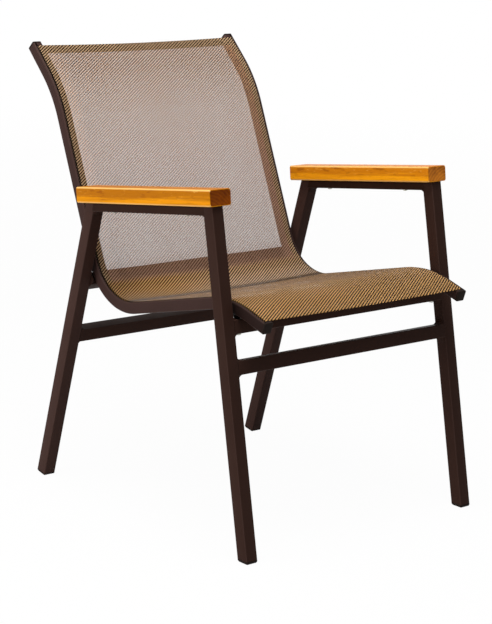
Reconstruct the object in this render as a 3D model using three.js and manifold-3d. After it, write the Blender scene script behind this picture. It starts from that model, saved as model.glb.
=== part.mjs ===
// Sling patio chair: a welded frame of square tube, two bent channel rails that hold a
// stretched fabric seat and back, and wooden armrests.
// Millimetres, +Z up. The sitter faces -Y and the sitter's left hand is at +X.
import * as THREE from 'three';
import { mergeVertices } from 'three/addons/utils/BufferGeometryUtils.js';
import Module from 'manifold-3d';

const wasm = await Module();
wasm.setup();

// Frame tube
const frameWidth = 570;
const tubeSide = 25.4;
const tubeWall = 1.5;
const tubeCorner = 2;
const frontLeanDegrees = 11.6;
const rearLeanDegrees = 14.9;

// Line of the rails' seating face, from the front end, over the crest, to the top end
const seatHeight = 452.5;
const frontStraight = 41.5;
const frontDropDegrees = 17;
const crestRadius = 214;
const seatStraight = 226;
const seatSlopeDegrees = 13.4;
const bendRadius = 103;
const backStraight = 285;
const backSlopeDegrees = 67;
const topRadius = 266;
const topSlopeDegrees = 44.5;
const topStraight = 62.5;

// Rail section, with a round channel and its slot near the outer side
const railWidth = 20;
const railDepth = 22;
const railCorner = 3;
const railWall = 1.8;
const railLegGap = 7.5;
const lipWidth = 3.5;
const slotWidth = 3.5;
const channelRadius = 4;
const channelDepth = 6.5;
const capThickness = 4;
const capBevel = 1.5;
const capPlugLength = 12;

// Where the cross tubes sit
const seatTubeAngleDegrees = 7.6;
const seatTubeGap = 5.2;
const frontStretcherDrop = 72.3;
const lumbarAngleDegrees = 36.7;
const lumbarGap = 3.3;
const rearStretcherDrop = 112.5;

// Armrests and the bar under each
const armRise = 165.3;
const armSlopeDegrees = 7.7;
const armWidth = 49;
const armThickness = 30;
const armEdge = 4;
const armNose = 5.7;
const armTail = 17.5;
const armInset = 3.3;
const barHeight = 16;

// Feet
const footHeight = 5;
const footChamfer = 1.4;
const footChamferHeight = 2.5;
const footPlugLength = 22;
const rearSoleFlat = 8;

// Sling
const fabricThickness = 1;
const slingFrontSag = 2;
const slingBackSag = 5;
const slingFrontInset = 4;
const slingTopInset = 8;
const rodRadius = 2.3;

// Fasteners
const boltRadius = 2.5;
const boltHeadRadius = 5;
const boltHeadHeight = 3;
const boltPoint = 2;
const nutSide = 9;
const nutHeight = 4;
const spacerRadius = 6;
const screwRadius = 2.1;
const screwHeadRadius = 4.5;
const screwHeadHeight = 2.6;
const screwBite = 16;
const screwSetback = 90;

// Clearances and cutting overruns
const fitGap = 0.3;
const holeClearance = 0.4;
const overrun = 10;

// Facet counts
const cornerSteps = 2;
const roundSides = 12;
const channelSteps = 8;
const crestSteps = 6;
const bendSteps = 12;
const topSteps = 5;
const sagSteps = 8;
const fineSides = 180;

const frontLean = THREE.MathUtils.degToRad(frontLeanDegrees);
const rearLean = THREE.MathUtils.degToRad(rearLeanDegrees);
const frontDrop = THREE.MathUtils.degToRad(frontDropDegrees);
const seatSlope = THREE.MathUtils.degToRad(seatSlopeDegrees);
const backSlope = THREE.MathUtils.degToRad(backSlopeDegrees);
const topSlope = THREE.MathUtils.degToRad(topSlopeDegrees);
const seatTubeAngle = THREE.MathUtils.degToRad(seatTubeAngleDegrees);
const lumbarAngle = THREE.MathUtils.degToRad(lumbarAngleDegrees);
const armSlope = THREE.MathUtils.degToRad(armSlopeDegrees);

const halfTube = tubeSide / 2;
const legX = frameWidth / 2 - halfTube;
const crossLength = frameWidth - 2 * tubeSide;
const railOuterX = frameWidth / 2 - tubeSide - railLegGap;
const railCentreX = railOuterX - railWidth / 2;

const colours = {
  powderCoat: 0x3b2c28,
  blackPlastic: 0x16130f,
  fabric: 0xb59a75,
  rod: 0xd8d2c4,
  wood: 0xd98a1f,
  steel: 0x8d8a86,
};

function material(colour, roughness, metalness) {
  return new THREE.MeshStandardMaterial({ color: colour, roughness, metalness });
}

const finishes = {
  coat: () => material(colours.powderCoat, 0.45, 0.2),
  plastic: () => material(colours.blackPlastic, 0.5, 0),
  fabric: () => material(colours.fabric, 0.75, 0),
  rod: () => material(colours.rod, 0.6, 0),
  wood: () => material(colours.wood, 0.35, 0),
  steel: () => material(colours.steel, 0.35, 1),
};

// Plane geometry in (y, z): a heading is an angle from +Y towards +Z.
const along = (heading, distance) => new THREE.Vector2(Math.cos(heading), Math.sin(heading))
  .multiplyScalar(distance);
const upFrom = (heading, distance) => along(heading + Math.PI / 2, distance);

function meet(point, heading, otherPoint, otherHeading) {
  const d = along(heading, 1);
  const e = along(otherHeading, 1);
  const offset = otherPoint.clone().sub(point);
  const t = (offset.x * e.y - offset.y * e.x) / (d.x * e.y - d.y * e.x);
  return point.clone().add(d.multiplyScalar(t));
}

// Vertices shared, faces turned outwards
function closed(geometry) {
  const bare = geometry.clone();
  bare.deleteAttribute('normal');
  bare.deleteAttribute('uv');
  const merged = mergeVertices(bare);
  const position = merged.attributes.position;
  const index = merged.index.array;
  const corner = (i) => new THREE.Vector3().fromBufferAttribute(position, index[i]);
  let volume = 0;
  for (let i = 0; i < index.length; i += 3) {
    volume += corner(i).dot(corner(i + 1).cross(corner(i + 2)));
  }
  if (volume < 0) {
    for (let i = 0; i < index.length; i += 3) {
      [index[i + 1], index[i + 2]] = [index[i + 2], index[i + 1]];
    }
  }
  return merged;
}

function solid(geometry) {
  const body = closed(geometry);
  return new wasm.Manifold(new wasm.Mesh({
    numProp: 3,
    vertProperties: new Float32Array(body.attributes.position.array),
    triVerts: new Uint32Array(body.index.array),
  }));
}

function geometryOf(body) {
  const mesh = body.getMesh();
  const geometry = new THREE.BufferGeometry();
  geometry.setAttribute('position', new THREE.BufferAttribute(mesh.vertProperties.slice(), 3));
  geometry.setIndex(new THREE.BufferAttribute(mesh.triVerts.slice(), 1));
  return geometry;
}

function cut(geometry, ...tools) {
  return geometryOf(tools.reduce((body, tool) => body.subtract(solid(tool)), solid(geometry)));
}

function piece(name, geometry, finish) {
  const mesh = new THREE.Mesh(closed(geometry), finish());
  mesh.geometry.computeVertexNormals();
  mesh.name = name;
  return mesh;
}

// Points round a rectangle with rounded corners, centred on the origin
function roundedOutline(width, height, radius) {
  const points = [];
  const corners = [[1, 1], [-1, 1], [-1, -1], [1, -1]];
  corners.forEach(([sx, sy], quarter) => {
    for (let step = 0; step <= cornerSteps; step += 1) {
      const angle = (quarter + step / cornerSteps) * (Math.PI / 2);
      points.push(new THREE.Vector2(
        sx * (width / 2 - radius) + radius * Math.cos(angle),
        sy * (height / 2 - radius) + radius * Math.sin(angle),
      ));
    }
  });
  return points;
}

// Joins one ring of vertices to the next, and closes both ends. Each ring is a list of
// loops: the outline first, then its holes.
function skin(rings) {
  const outline = rings[0].flat();
  const vertices = rings.flatMap((ring) => ring.flat()).flatMap((p) => [p.x, p.y, p.z]);
  const faces = [];
  for (let r = 0; r + 1 < rings.length; r += 1) {
    let first = 0;
    for (const loop of rings[0]) {
      for (let i = 0; i < loop.length; i += 1) {
        const a = r * outline.length + first + i;
        const b = r * outline.length + first + ((i + 1) % loop.length);
        const c = a + outline.length;
        const d = b + outline.length;
        faces.push(a, b, d, a, d, c);
      }
      first += loop.length;
    }
  }
  return { vertices, faces, count: outline.length };
}

function swept(loops, rings) {
  const { vertices, faces, count } = skin(rings);
  const ends = THREE.ShapeUtils.triangulateShape(loops[0], loops.slice(1));
  if (THREE.ShapeUtils.isClockWise(loops[0])) {
    ends.forEach((face) => face.reverse());
  }
  const last = (rings.length - 1) * count;
  for (const [a, b, c] of ends) {
    faces.push(c, b, a, last + a, last + b, last + c);
  }
  const geometry = new THREE.BufferGeometry();
  geometry.setAttribute('position', new THREE.Float32BufferAttribute(vertices, 3));
  geometry.setIndex(faces);
  return geometry;
}

// An outline carried along local Z; each end may slope by so much per unit of local Y.
function prism(loops, bottom, bottomSlope, top, topSlopeRatio) {
  const ring = (height, slope) => loops.map((loop) => loop.map(
    (p) => new THREE.Vector3(p.x, p.y, height + slope * p.y),
  ));
  return swept(loops, [ring(bottom, bottomSlope), ring(top, topSlopeRatio)]);
}

// The hole of a tube runs against its outline, as the end faces need.
function tubeLoops(width, height, corner) {
  const bore = roundedOutline(width - 2 * tubeWall, height - 2 * tubeWall, corner / 2);
  return [roundedOutline(width, height, corner), bore.reverse()];
}

const squareTube = tubeLoops(tubeSide, tubeSide, tubeCorner);

// A plain rod along local Y, for bores
function rod(radius, from, to, sides = roundSides) {
  return new THREE.CylinderGeometry(radius, radius, to - from, sides)
    .translate(0, (from + to) / 2, 0);
}

// Seating line of the rails: stations with a place and a heading. The crest's top is at
// y = 0 and the rest follows from the straights, radii and slopes.
const crestCentre = new THREE.Vector2(0, seatHeight - crestRadius);
const seatFront = crestCentre.clone().add(upFrom(-seatSlope, crestRadius));
const seatRear = seatFront.clone().add(along(-seatSlope, seatStraight));
const bendCentre = seatRear.clone().add(upFrom(-seatSlope, bendRadius));
const backFoot = bendCentre.clone().sub(upFrom(backSlope, bendRadius));
const backHead = backFoot.clone().add(along(backSlope, backStraight));
const topCentre = backHead.clone().sub(upFrom(backSlope, topRadius));

function arc(centre, radius, from, to, steps) {
  return Array.from({ length: steps + 1 }, (_, step) => {
    const heading = from + (to - from) * (step / steps);
    return { place: centre.clone().add(upFrom(heading, radius)), heading };
  });
}

function stations(frontTrim, topTrim) {
  const crest = arc(crestCentre, crestRadius, frontDrop, -seatSlope, crestSteps);
  const bend = arc(bendCentre, -bendRadius, -seatSlope, backSlope, bendSteps);
  const top = arc(topCentre, topRadius, backSlope, topSlope, topSteps);
  const start = crest[0].place.clone().sub(along(frontDrop, frontStraight - frontTrim));
  const end = top[topSteps].place.clone().add(along(topSlope, topStraight - topTrim));
  return [
    { place: start, heading: frontDrop },
    ...crest, ...bend, ...top,
    { place: end, heading: topSlope },
  ];
}

// Carries a section along the seating line. In the section x is across the chair and y
// is the depth under the seating face. The section may change with its share of the way.
function alongRail(sectionAt, line) {
  const rings = line.map(({ place, heading }, station) => {
    const loops = sectionAt(station / (line.length - 1));
    return loops.map((loop) => loop.map((p) => {
      const at = place.clone().sub(upFrom(heading, p.y));
      return new THREE.Vector3(p.x, at.x, at.y);
    }));
  });
  return swept(sectionAt(0), rings);
}

// Part of a circle's points, from one angle to another
function ringPart(across, depth, radius, from, to, steps) {
  return Array.from({ length: steps + 1 }, (_, step) => {
    const angle = from + (to - from) * (step / steps);
    return new THREE.Vector2(across + radius * Math.sin(angle), depth - radius * Math.cos(angle));
  });
}

const channelAcross = railWall + channelRadius;
const slotEnd = lipWidth + slotWidth;

// Rail section in (distance from the outer face, depth)
function railLoops() {
  const slotAngle = (across) => Math.asin((across - channelAcross) / channelRadius);
  const outline = roundedOutline(railWidth, railDepth, railCorner)
    .map((p) => new THREE.Vector2(p.x + railWidth / 2, p.y + railDepth / 2));
  const firstInner = (cornerSteps + 1) * 3;
  const channel = ringPart(
    channelAcross, channelDepth, channelRadius,
    slotAngle(lipWidth), slotAngle(slotEnd) - 2 * Math.PI, channelSteps,
  );
  outline.splice(
    firstInner, 0,
    new THREE.Vector2(lipWidth, 0), ...channel, new THREE.Vector2(slotEnd, 0),
  );
  const hollowTop = channelDepth + channelRadius + railWall;
  const hollowSide = channelAcross + channelRadius + railWall;
  const far = railWidth - railWall;
  const deep = railDepth - railWall;
  const hollow = [
    [railWall, hollowTop], [railWall, deep], [far, deep],
    [far, railWall], [hollowSide, railWall], [hollowSide, hollowTop],
  ].map(([x, y]) => new THREE.Vector2(x, y));
  return [outline, hollow];
}

const placeAcross = (loops, side) => loops.map((loop) => loop.map(
  (p) => new THREE.Vector2(side * (railOuterX - p.x), p.y),
));

// Cross tubes: the seat tube lies square to the front legs, and the lumbar tube is turned
// to face the rails' bend.
const seatTubeReach = halfTube * (Math.cos(frontLean + seatTubeAngle)
  + Math.sin(frontLean + seatTubeAngle));
const seatTube = crestCentre.clone().add(upFrom(
  seatTubeAngle, crestRadius - railDepth - seatTubeGap - seatTubeReach,
));
const lumbarTube = bendCentre.clone().add(along(
  -lumbarAngle, bendRadius + railDepth + lumbarGap + halfTube,
));
const frontUp = Math.PI / 2 - frontLean;
const rearUp = Math.PI / 2 + rearLean;
const ground = new THREE.Vector2(0, 0);
const frontFoot = meet(seatTube, frontUp, ground, 0);
const rearFoot = meet(lumbarTube, rearUp, ground, 0);
const frontStretcher = seatTube.clone().sub(along(frontUp, frontStretcherDrop));
const rearStretcher = lumbarTube.clone().sub(along(rearUp, rearStretcherDrop));

// The armrest's underside runs through this point of the front leg's axis.
const armPoint = meet(seatTube, frontUp, new THREE.Vector2(0, seatHeight + armRise), 0);
const rearArmPoint = meet(lumbarTube, rearUp, armPoint, -armSlope);
const armSpan = rearArmPoint.distanceTo(armPoint);
const frontLegLength = armPoint.distanceTo(frontFoot);
const rearLegLength = rearArmPoint.distanceTo(rearFoot);

const chair = new THREE.Group();
chair.name = 'sling_patio_chair';

function turned(place, x, angle) {
  const group = new THREE.Group();
  group.position.set(x, place.x, place.y);
  group.rotation.x = angle;
  chair.add(group);
  return group;
}

// Foot plug: a chamfered head under the tube and a plug up inside it. Each ring has half
// sizes, a height and a shift along Y.
function footPlug(rows) {
  const rings = rows.map(({ halfX, halfY, height, shift }) => [
    roundedOutline(2 * halfX, 2 * halfY, tubeCorner)
      .map((p) => new THREE.Vector3(p.x, p.y + shift, height)),
  ]);
  return swept([roundedOutline(tubeSide, tubeSide, tubeCorner)], rings);
}

function footRows(start, stretch, lean) {
  const row = (half, height) => ({
    halfX: half, halfY: half * stretch, height: start + height, shift: height * lean,
  });
  const plugHalf = halfTube - tubeWall - fitGap;
  return [
    row(halfTube - footChamfer, 0),
    row(halfTube, footChamferHeight),
    row(halfTube, footHeight),
    row(plugHalf, footHeight),
    row(plugHalf, footHeight + footPlugLength),
  ];
}

function sideFrame(side, suffix) {
  const x = side * legX;

  const frontLeg = turned(frontFoot, x, -frontLean);
  const levelCut = Math.tan(frontLean);
  frontLeg.add(piece(`front_leg_${suffix}`, prism(
    squareTube, (footHeight + fitGap) / Math.cos(frontLean), levelCut,
    frontLegLength - fitGap, Math.tan(frontLean - armSlope),
  ), finishes.coat));

  const frontPlug = turned(frontFoot, x, 0);
  const stretch = 1 / Math.cos(frontLean);
  frontPlug.add(piece(
    `front_foot_${suffix}`,
    footPlug(footRows(0, stretch, Math.tan(frontLean))),
    finishes.plastic,
  ));

  // The rear foot is cut square to its leg, with a level strip at its front edge.
  const rearLeg = turned(rearFoot, x, rearLean);
  const sole = (halfTube - rearSoleFlat) * Math.tan(rearLean);
  rearLeg.add(piece(`rear_leg_${suffix}`, prism(
    squareTube, sole + footHeight + fitGap, 0,
    rearLegLength - fitGap, -Math.tan(rearLean + armSlope),
  ), finishes.coat));
  const floor = new THREE.BoxGeometry(2 * tubeSide, 2 * tubeSide, tubeSide)
    .translate(0, 0, -halfTube).rotateX(-rearLean);
  rearLeg.add(piece(
    `rear_foot_${suffix}`,
    cut(footPlug(footRows(sole, 1, 0)), floor),
    finishes.plastic,
  ));
}

// Arm frame: local Y runs down from the armrest's underside, local Z runs to the rear.
function armParts(side, suffix) {
  const group = turned(armPoint, side * legX, -(Math.PI / 2 + armSlope));
  const frontAngle = frontLean - armSlope;
  const rearAngle = rearLean + armSlope;
  const frontFace = halfTube / Math.cos(frontAngle);
  const rearFace = halfTube / Math.cos(rearAngle);
  const barCentre = fitGap + barHeight / 2;
  const barLoops = tubeLoops(tubeSide, barHeight, tubeCorner)
    .map((loop) => loop.map((p) => new THREE.Vector2(p.x, p.y + barCentre)));
  const start = -(frontFace + armNose);
  const end = armSpan + rearFace + armTail;
  const screwSpots = [start + screwSetback, end - screwSetback];

  const hole = screwRadius + holeClearance;
  const barHoles = screwSpots.map((z) => rod(hole, -overrun, barHeight + overrun)
    .translate(0, 0, z));
  group.add(piece(`arm_bar_${suffix}`, cut(prism(
    barLoops, frontFace + fitGap, -Math.tan(frontAngle),
    armSpan - rearFace - fitGap, Math.tan(rearAngle),
  ), ...barHoles), finishes.coat));

  const inset = -side * armInset;
  const board = armBoard(end - start).translate(inset, -armThickness / 2, start);
  const woodHoles = screwSpots.map((z) => rod(hole, -(screwBite + fitGap), overrun)
    .translate(0, 0, z));
  group.add(piece(`armrest_${suffix}`, cut(board, ...woodHoles), finishes.wood));

  const head = fitGap + barHeight + fitGap;
  screwSpots.forEach((z, i) => group.add(piece(
    `armrest_screw_${['front', 'rear'][i]}_${suffix}`,
    screw(-screwBite, head).translate(0, 0, z), finishes.steel,
  )));
}

// A board with eased long edges and eased ends
function armBoard(length) {
  const shape = new THREE.Shape(roundedOutline(
    armWidth - armEdge, armThickness - armEdge, armEdge / 2,
  ));
  return new THREE.ExtrudeGeometry(shape, {
    depth: length - armEdge,
    bevelEnabled: true,
    bevelThickness: armEdge / 2,
    bevelSize: armEdge / 2,
    bevelSegments: cornerSteps,
    curveSegments: cornerSteps,
    steps: 1,
  }).translate(0, 0, armEdge / 2);
}

// Pan head screw along local Y, its point at the first height and its head past the second
function screw(point, seat) {
  const profile = [
    [0, point], [screwRadius, point + screwRadius], [screwRadius, seat],
    [screwHeadRadius, seat], [screwHeadRadius, seat + screwHeadHeight / 2],
    [screwHeadRadius / 2, seat + screwHeadHeight], [0, seat + screwHeadHeight],
  ].map(([r, y]) => new THREE.Vector2(r, y));
  return new THREE.LatheGeometry(profile, roundSides);
}

// Bolt along local Y, its head below the lower height and its end at the upper one
function bolt(seat, end) {
  const profile = [
    [0, seat - boltHeadHeight], [boltHeadRadius / 2, seat - boltHeadHeight],
    [boltHeadRadius, seat - boltHeadHeight / 2], [boltHeadRadius, seat],
    [boltRadius, seat], [boltRadius, end - boltPoint], [boltRadius / 2, end], [0, end],
  ].map(([r, y]) => new THREE.Vector2(r, y));
  return new THREE.LatheGeometry(profile, roundSides);
}

function nut(from) {
  const block = new THREE.BoxGeometry(nutSide, nutHeight, nutSide)
    .translate(0, from + nutHeight / 2, 0);
  return cut(block, rod(boltRadius + fitGap, from - overrun, from + nutHeight + overrun));
}

const crossTube = (holes) => cut(
  prism(squareTube, -crossLength / 2, 0, crossLength / 2, 0).rotateY(Math.PI / 2),
  ...holes,
);

const boltHole = boltRadius + holeClearance;
const boltPair = (from, to) => [-1, 1].map(
  (side) => rod(boltHole, from, to).rotateX(Math.PI / 2).translate(side * railCentreX, 0, 0),
);

// The seat tube's bolts stand square to the tube, so they meet the rail at a slant.
const boltSlant = frontLean + seatTubeAngle;
const underRadius = crestRadius - railDepth;
function railUndersideFrom(centreOffset) {
  const axis = along(frontUp, 1);
  const from = seatTube.clone().sub(crestCentre);
  const middle = from.dot(axis);
  return -middle + Math.sqrt(middle ** 2 + (underRadius + centreOffset) ** 2 - from.lengthSq());
}
const seatUnderside = railUndersideFrom(0);
const seatNutBase = railUndersideFrom(railWall) + fitGap
  + (nutSide / 2) * Math.tan(boltSlant);
const lumbarUnderside = halfTube + lumbarGap;
const lumbarNutBase = lumbarUnderside + railWall + fitGap;

// Cross tube frames: local Z points at the rail, so local Y is turned onto it for lathes.
function addCrossTube(name, place, angle, drilled) {
  const group = turned(place, 0, angle);
  const holes = drilled ? boltPair(-tubeSide, tubeSide) : [];
  group.add(piece(name, crossTube(holes), finishes.coat));
  return group;
}

// Cuts or keeps a spacer by a cylinder that follows the rail's curved face. The cylinder
// runs along X through a point below or above on local Z.
function railFace(radius, y, z) {
  return new THREE.CylinderGeometry(radius, radius, 2 * railWidth, fineSides)
    .rotateZ(Math.PI / 2).translate(0, y, z);
}

function spacer(length) {
  const sleeve = rod(spacerRadius, halfTube + fitGap, halfTube + length);
  return cut(sleeve, rod(boltHole, -overrun, tubeSide + length)).rotateX(Math.PI / 2);
}

function addSeatFixings(group) {
  const toCentre = crestCentre.clone().sub(seatTube).rotateAround(ground, frontLean);
  const face = railFace(underRadius - fitGap, toCentre.x, toCentre.y);
  const blank = spacer(seatUnderside);
  for (const [side, suffix] of [[1, 'left'], [-1, 'right']]) {
    const x = side * railCentreX;
    group.add(piece(
      `seat_spacer_${suffix}`,
      geometryOf(solid(blank).intersect(solid(face))).translate(x, 0, 0),
      finishes.plastic,
    ));
    addBolt(group, `seat_bolt_${suffix}`, x, seatNutBase);
    group.add(piece(
      `seat_nut_${suffix}`, nut(seatNutBase).rotateX(Math.PI / 2).translate(x, 0, 0),
      finishes.steel,
    ));
  }
}

function addBolt(group, name, x, nutBase) {
  const length = nutBase + nutHeight;
  group.add(piece(
    name, bolt(-(halfTube + fitGap), length).rotateX(Math.PI / 2).translate(x, 0, 0),
    finishes.steel,
  ));
}

function addLumbarFixings(group) {
  const toCentre = bendRadius + railDepth + lumbarGap + halfTube;
  const face = railFace(bendRadius + railDepth + fitGap, 0, toCentre);
  const blank = spacer(lumbarGap);
  for (const [side, suffix] of [[1, 'left'], [-1, 'right']]) {
    const x = side * railCentreX;
    group.add(piece(
      `lumbar_spacer_${suffix}`, cut(blank, face).translate(x, 0, 0), finishes.plastic,
    ));
    addBolt(group, `lumbar_bolt_${suffix}`, x, lumbarNutBase);
    group.add(piece(
      `lumbar_nut_${suffix}`, nut(lumbarNutBase).rotateX(Math.PI / 2).translate(x, 0, 0),
      finishes.steel,
    ));
  }
}

// A bolt hole through the rail's underside only, in the chair's own frame
function railHole(side, place, angle, underside) {
  return rod(boltHole, halfTube, underside + railWall + railDepth / 3)
    .rotateX(Math.PI / 2 + angle)
    .translate(side * railCentreX, place.x, place.y);
}

const lumbarTurn = Math.PI / 2 - lumbarAngle;

function addRail(side, suffix) {
  const section = placeAcross(railLoops(), side);
  const blank = alongRail(() => section, stations(0, 0));
  const holes = [
    railHole(side, seatTube, -frontLean, seatUnderside),
    railHole(side, lumbarTube, lumbarTurn, lumbarUnderside),
  ];
  chair.add(piece(`sling_rail_${suffix}`, cut(blank, ...holes), finishes.coat));
}

// End cap: a bevelled plate over the rail's end with a plug in its hollow. Local Z points
// out of the rail; depthSign says which way the depth runs along local Y.
function endCap(side, depthSign) {
  const shape = new THREE.Shape(roundedOutline(
    railWidth - 2 * capBevel, railDepth - 2 * capBevel, railCorner - capBevel,
  ));
  const plate = new THREE.ExtrudeGeometry(shape, {
    depth: capThickness - fitGap - 2 * capBevel,
    bevelEnabled: true,
    bevelThickness: capBevel,
    bevelSize: capBevel,
    bevelSegments: 1,
    curveSegments: 1,
    steps: 1,
  }).translate(0, 0, fitGap + capBevel);
  const innerSide = channelAcross + channelRadius + railWall;
  const plugWidth = railWidth - railWall - innerSide - 2 * fitGap;
  const plugDepth = railDepth - 2 * railWall - 2 * fitGap;
  const fromCentre = railWidth / 2 - railWall - fitGap - plugWidth / 2;
  const plug = new THREE.BoxGeometry(plugWidth, plugDepth, capPlugLength + capThickness / 2)
    .translate(-side * fromCentre, 0, (capThickness / 2 - capPlugLength) / 2);
  const whole = geometryOf(solid(plate).add(solid(plug)));
  return whole.translate(0, depthSign * (railDepth / 2), 0);
}

function addEndCaps(side, suffix) {
  const line = stations(0, 0);
  const ends = [
    ['front', line[0], frontDrop + Math.PI / 2, -1],
    ['top', line[line.length - 1], topSlope - Math.PI / 2, 1],
  ];
  for (const [word, { place }, angle, depthSign] of ends) {
    turned(place, side * railCentreX, angle).add(piece(
      `rail_${word}_cap_${suffix}`, endCap(side, depthSign), finishes.plastic,
    ));
  }
}

// Sling section: two pockets in the channels, flat over the rails' faces, and a sag
// between the rails. The pocket of each side wraps its rod.
const pocketInner = rodRadius + fitGap;
const pocketOuter = pocketInner + fabricThickness;
const neckInner = slotEnd - fitGap;
const neckOuter = neckInner - 2 * fabricThickness;

function slingLoops(share) {
  const sag = slingFrontSag + (slingBackSag - slingFrontSag) * share;
  const neckAngle = (across) => Math.asin((across - channelAcross) / pocketOuter);
  const pocket = ringPart(
    channelAcross, channelDepth, pocketOuter,
    neckAngle(neckOuter), neckAngle(neckInner) - 2 * Math.PI, channelSteps,
  );
  const upper = -(fitGap + fabricThickness);
  const edge = [
    new THREE.Vector2(neckInner, upper),
    new THREE.Vector2(neckOuter, upper / 2),
    ...pocket,
    new THREE.Vector2(neckInner, -fitGap),
  ];
  const halfSpan = railOuterX - railWidth;
  const toX = (side) => (p) => new THREE.Vector2(side * (railOuterX - p.x), p.y);
  const row = (base) => Array.from({ length: sagSteps + 1 }, (_, step) => {
    const across = (2 * step) / sagSteps - 1;
    return new THREE.Vector2(across * halfSpan, base + sag * (1 - across ** 2));
  });
  const outline = [
    ...row(upper),
    ...edge.map(toX(1)),
    ...row(-fitGap).reverse(),
    ...edge.map(toX(-1)).reverse(),
  ];
  const pockets = [1, -1].map((side) => rodOutline(pocketInner, side).reverse());
  return [outline, ...pockets];
}

function rodOutline(radius, side) {
  return Array.from({ length: channelSteps }, (_, step) => {
    const angle = (step / channelSteps) * 2 * Math.PI;
    return new THREE.Vector2(
      side * (railOuterX - channelAcross) + radius * Math.cos(angle),
      channelDepth + radius * Math.sin(angle),
    );
  });
}

for (const [side, suffix] of [[1, 'left'], [-1, 'right']]) {
  sideFrame(side, suffix);
  armParts(side, suffix);
  addRail(side, suffix);
  addEndCaps(side, suffix);
  chair.add(piece(
    `spline_rod_${suffix}`,
    alongRail(() => [rodOutline(rodRadius, side)], stations(slingFrontInset, slingTopInset)),
    finishes.rod,
  ));
}

chair.add(piece(
  'sling', alongRail(slingLoops, stations(slingFrontInset, slingTopInset)), finishes.fabric,
));

addSeatFixings(addCrossTube('front_seat_tube', seatTube, -frontLean, true));
addCrossTube('front_stretcher', frontStretcher, -frontLean, false);
addLumbarFixings(addCrossTube('lumbar_tube', lumbarTube, lumbarTurn, true));
addCrossTube('rear_stretcher', rearStretcher, rearLean, false);

// The origin is the middle of the chair's outline on the floor.
chair.updateMatrixWorld(true);
const bounds = new THREE.Box3().setFromObject(chair, true);
chair.position.y = -(bounds.min.y + bounds.max.y) / 2;

const model = new THREE.Group();
model.add(chair);
export default model;
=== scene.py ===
"""Looks for a sling patio armchair: powder-coated tube frame, mesh sling, varnished arms.

Metres, +Z up. The sitter faces -Y and the sitter's left hand is at +X.
"""

import functools
import logging
import math
from dataclasses import dataclass, field
from enum import Enum
from typing import Sequence, Union

import bpy
import numpy as np
from mathutils import Matrix, Vector


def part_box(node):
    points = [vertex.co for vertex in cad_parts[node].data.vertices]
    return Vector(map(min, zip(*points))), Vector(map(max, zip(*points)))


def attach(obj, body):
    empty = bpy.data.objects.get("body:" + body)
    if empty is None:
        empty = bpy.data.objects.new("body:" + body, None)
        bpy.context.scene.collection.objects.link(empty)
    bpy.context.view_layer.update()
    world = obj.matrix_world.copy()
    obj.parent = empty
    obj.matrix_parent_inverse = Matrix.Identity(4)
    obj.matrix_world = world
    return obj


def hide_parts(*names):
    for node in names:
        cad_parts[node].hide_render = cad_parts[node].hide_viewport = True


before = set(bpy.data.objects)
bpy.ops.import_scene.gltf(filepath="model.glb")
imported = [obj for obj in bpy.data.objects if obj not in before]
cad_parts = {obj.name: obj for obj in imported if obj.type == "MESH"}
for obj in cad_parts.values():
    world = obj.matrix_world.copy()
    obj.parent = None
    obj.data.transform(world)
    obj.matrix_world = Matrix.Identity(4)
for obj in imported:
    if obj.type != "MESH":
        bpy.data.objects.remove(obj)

LOG = logging.getLogger("sling_chair")
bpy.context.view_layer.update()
Socket = Union[bpy.types.NodeSocket, float, tuple]


class Side(Enum):
    """The sitter's left or right, with its sign along X."""

    LEFT = 1
    RIGHT = -1

    @property
    def word(self) -> str:
        """The ending of this side's node names."""
        return self.name.lower()


class Slot(Enum):
    """The record's material slots."""

    COAT = "powder_coat"
    PLASTIC = "black_plastic"
    FABRIC = "mesh_fabric"
    WOOD = "varnished_wood"
    STEEL = "zinc_steel"
    SPLINE = "spline_plastic"


# Meshes


def rounded_outline(width: float, height: float, radius: float, steps: int = 6) -> np.ndarray:
    """Points round a rectangle with rounded corners, against the clock.

    Each corner is a quarter circle: its centre is the corner of the rectangle drawn in by
    the radius, and a point is the centre plus the radius times (cosine, sine).

    Args:
        width: size along the first axis.
        height: size along the second axis.
        radius: corner radius.
        steps: chords in each corner.

    Returns:
        An array of points, one row each.
    """
    quarter = np.repeat(np.arange(4), steps + 1)
    angle = (quarter + np.tile(np.arange(steps + 1) / steps, 4)) * (math.pi / 2)
    sign_x = np.array([1, -1, -1, 1])[quarter]
    sign_y = np.array([1, 1, -1, -1])[quarter]
    return np.stack([
        sign_x * (width / 2 - radius) + radius * np.cos(angle),
        sign_y * (height / 2 - radius) + radius * np.sin(angle),
    ], axis=1)


def outline_rim(steps: int = 6) -> np.ndarray:
    """How near each point of a rounded outline is to the middle of its corner, from 0 to 1."""
    # Along each corner it is the sine of pi times the share of the corner passed
    return np.tile(np.sin(np.pi * np.arange(steps + 1) / steps), 4)


def ring_at(outline: np.ndarray, height: float) -> np.ndarray:
    """An outline as a ring of points (x, y, height)."""
    return np.concatenate([outline, np.full((len(outline), 1), height)], axis=1)


def loft_faces(rings: int, count: int, first: int = 0) -> np.ndarray:
    """Quads that join ring after ring of a closed outline.

    Args:
        rings: number of rings.
        count: points in each ring.
        first: index of the first point.

    Returns:
        Quads as rows of four indices.
    """
    ring, point = np.meshgrid(np.arange(rings - 1), np.arange(count), indexing="ij")
    following = (point + 1) % count
    low, high = ring * count, (ring + 1) * count
    quads = np.stack([low + point, low + following, high + following, high + point], axis=-1)
    return quads.reshape(-1, 4) + first


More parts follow.
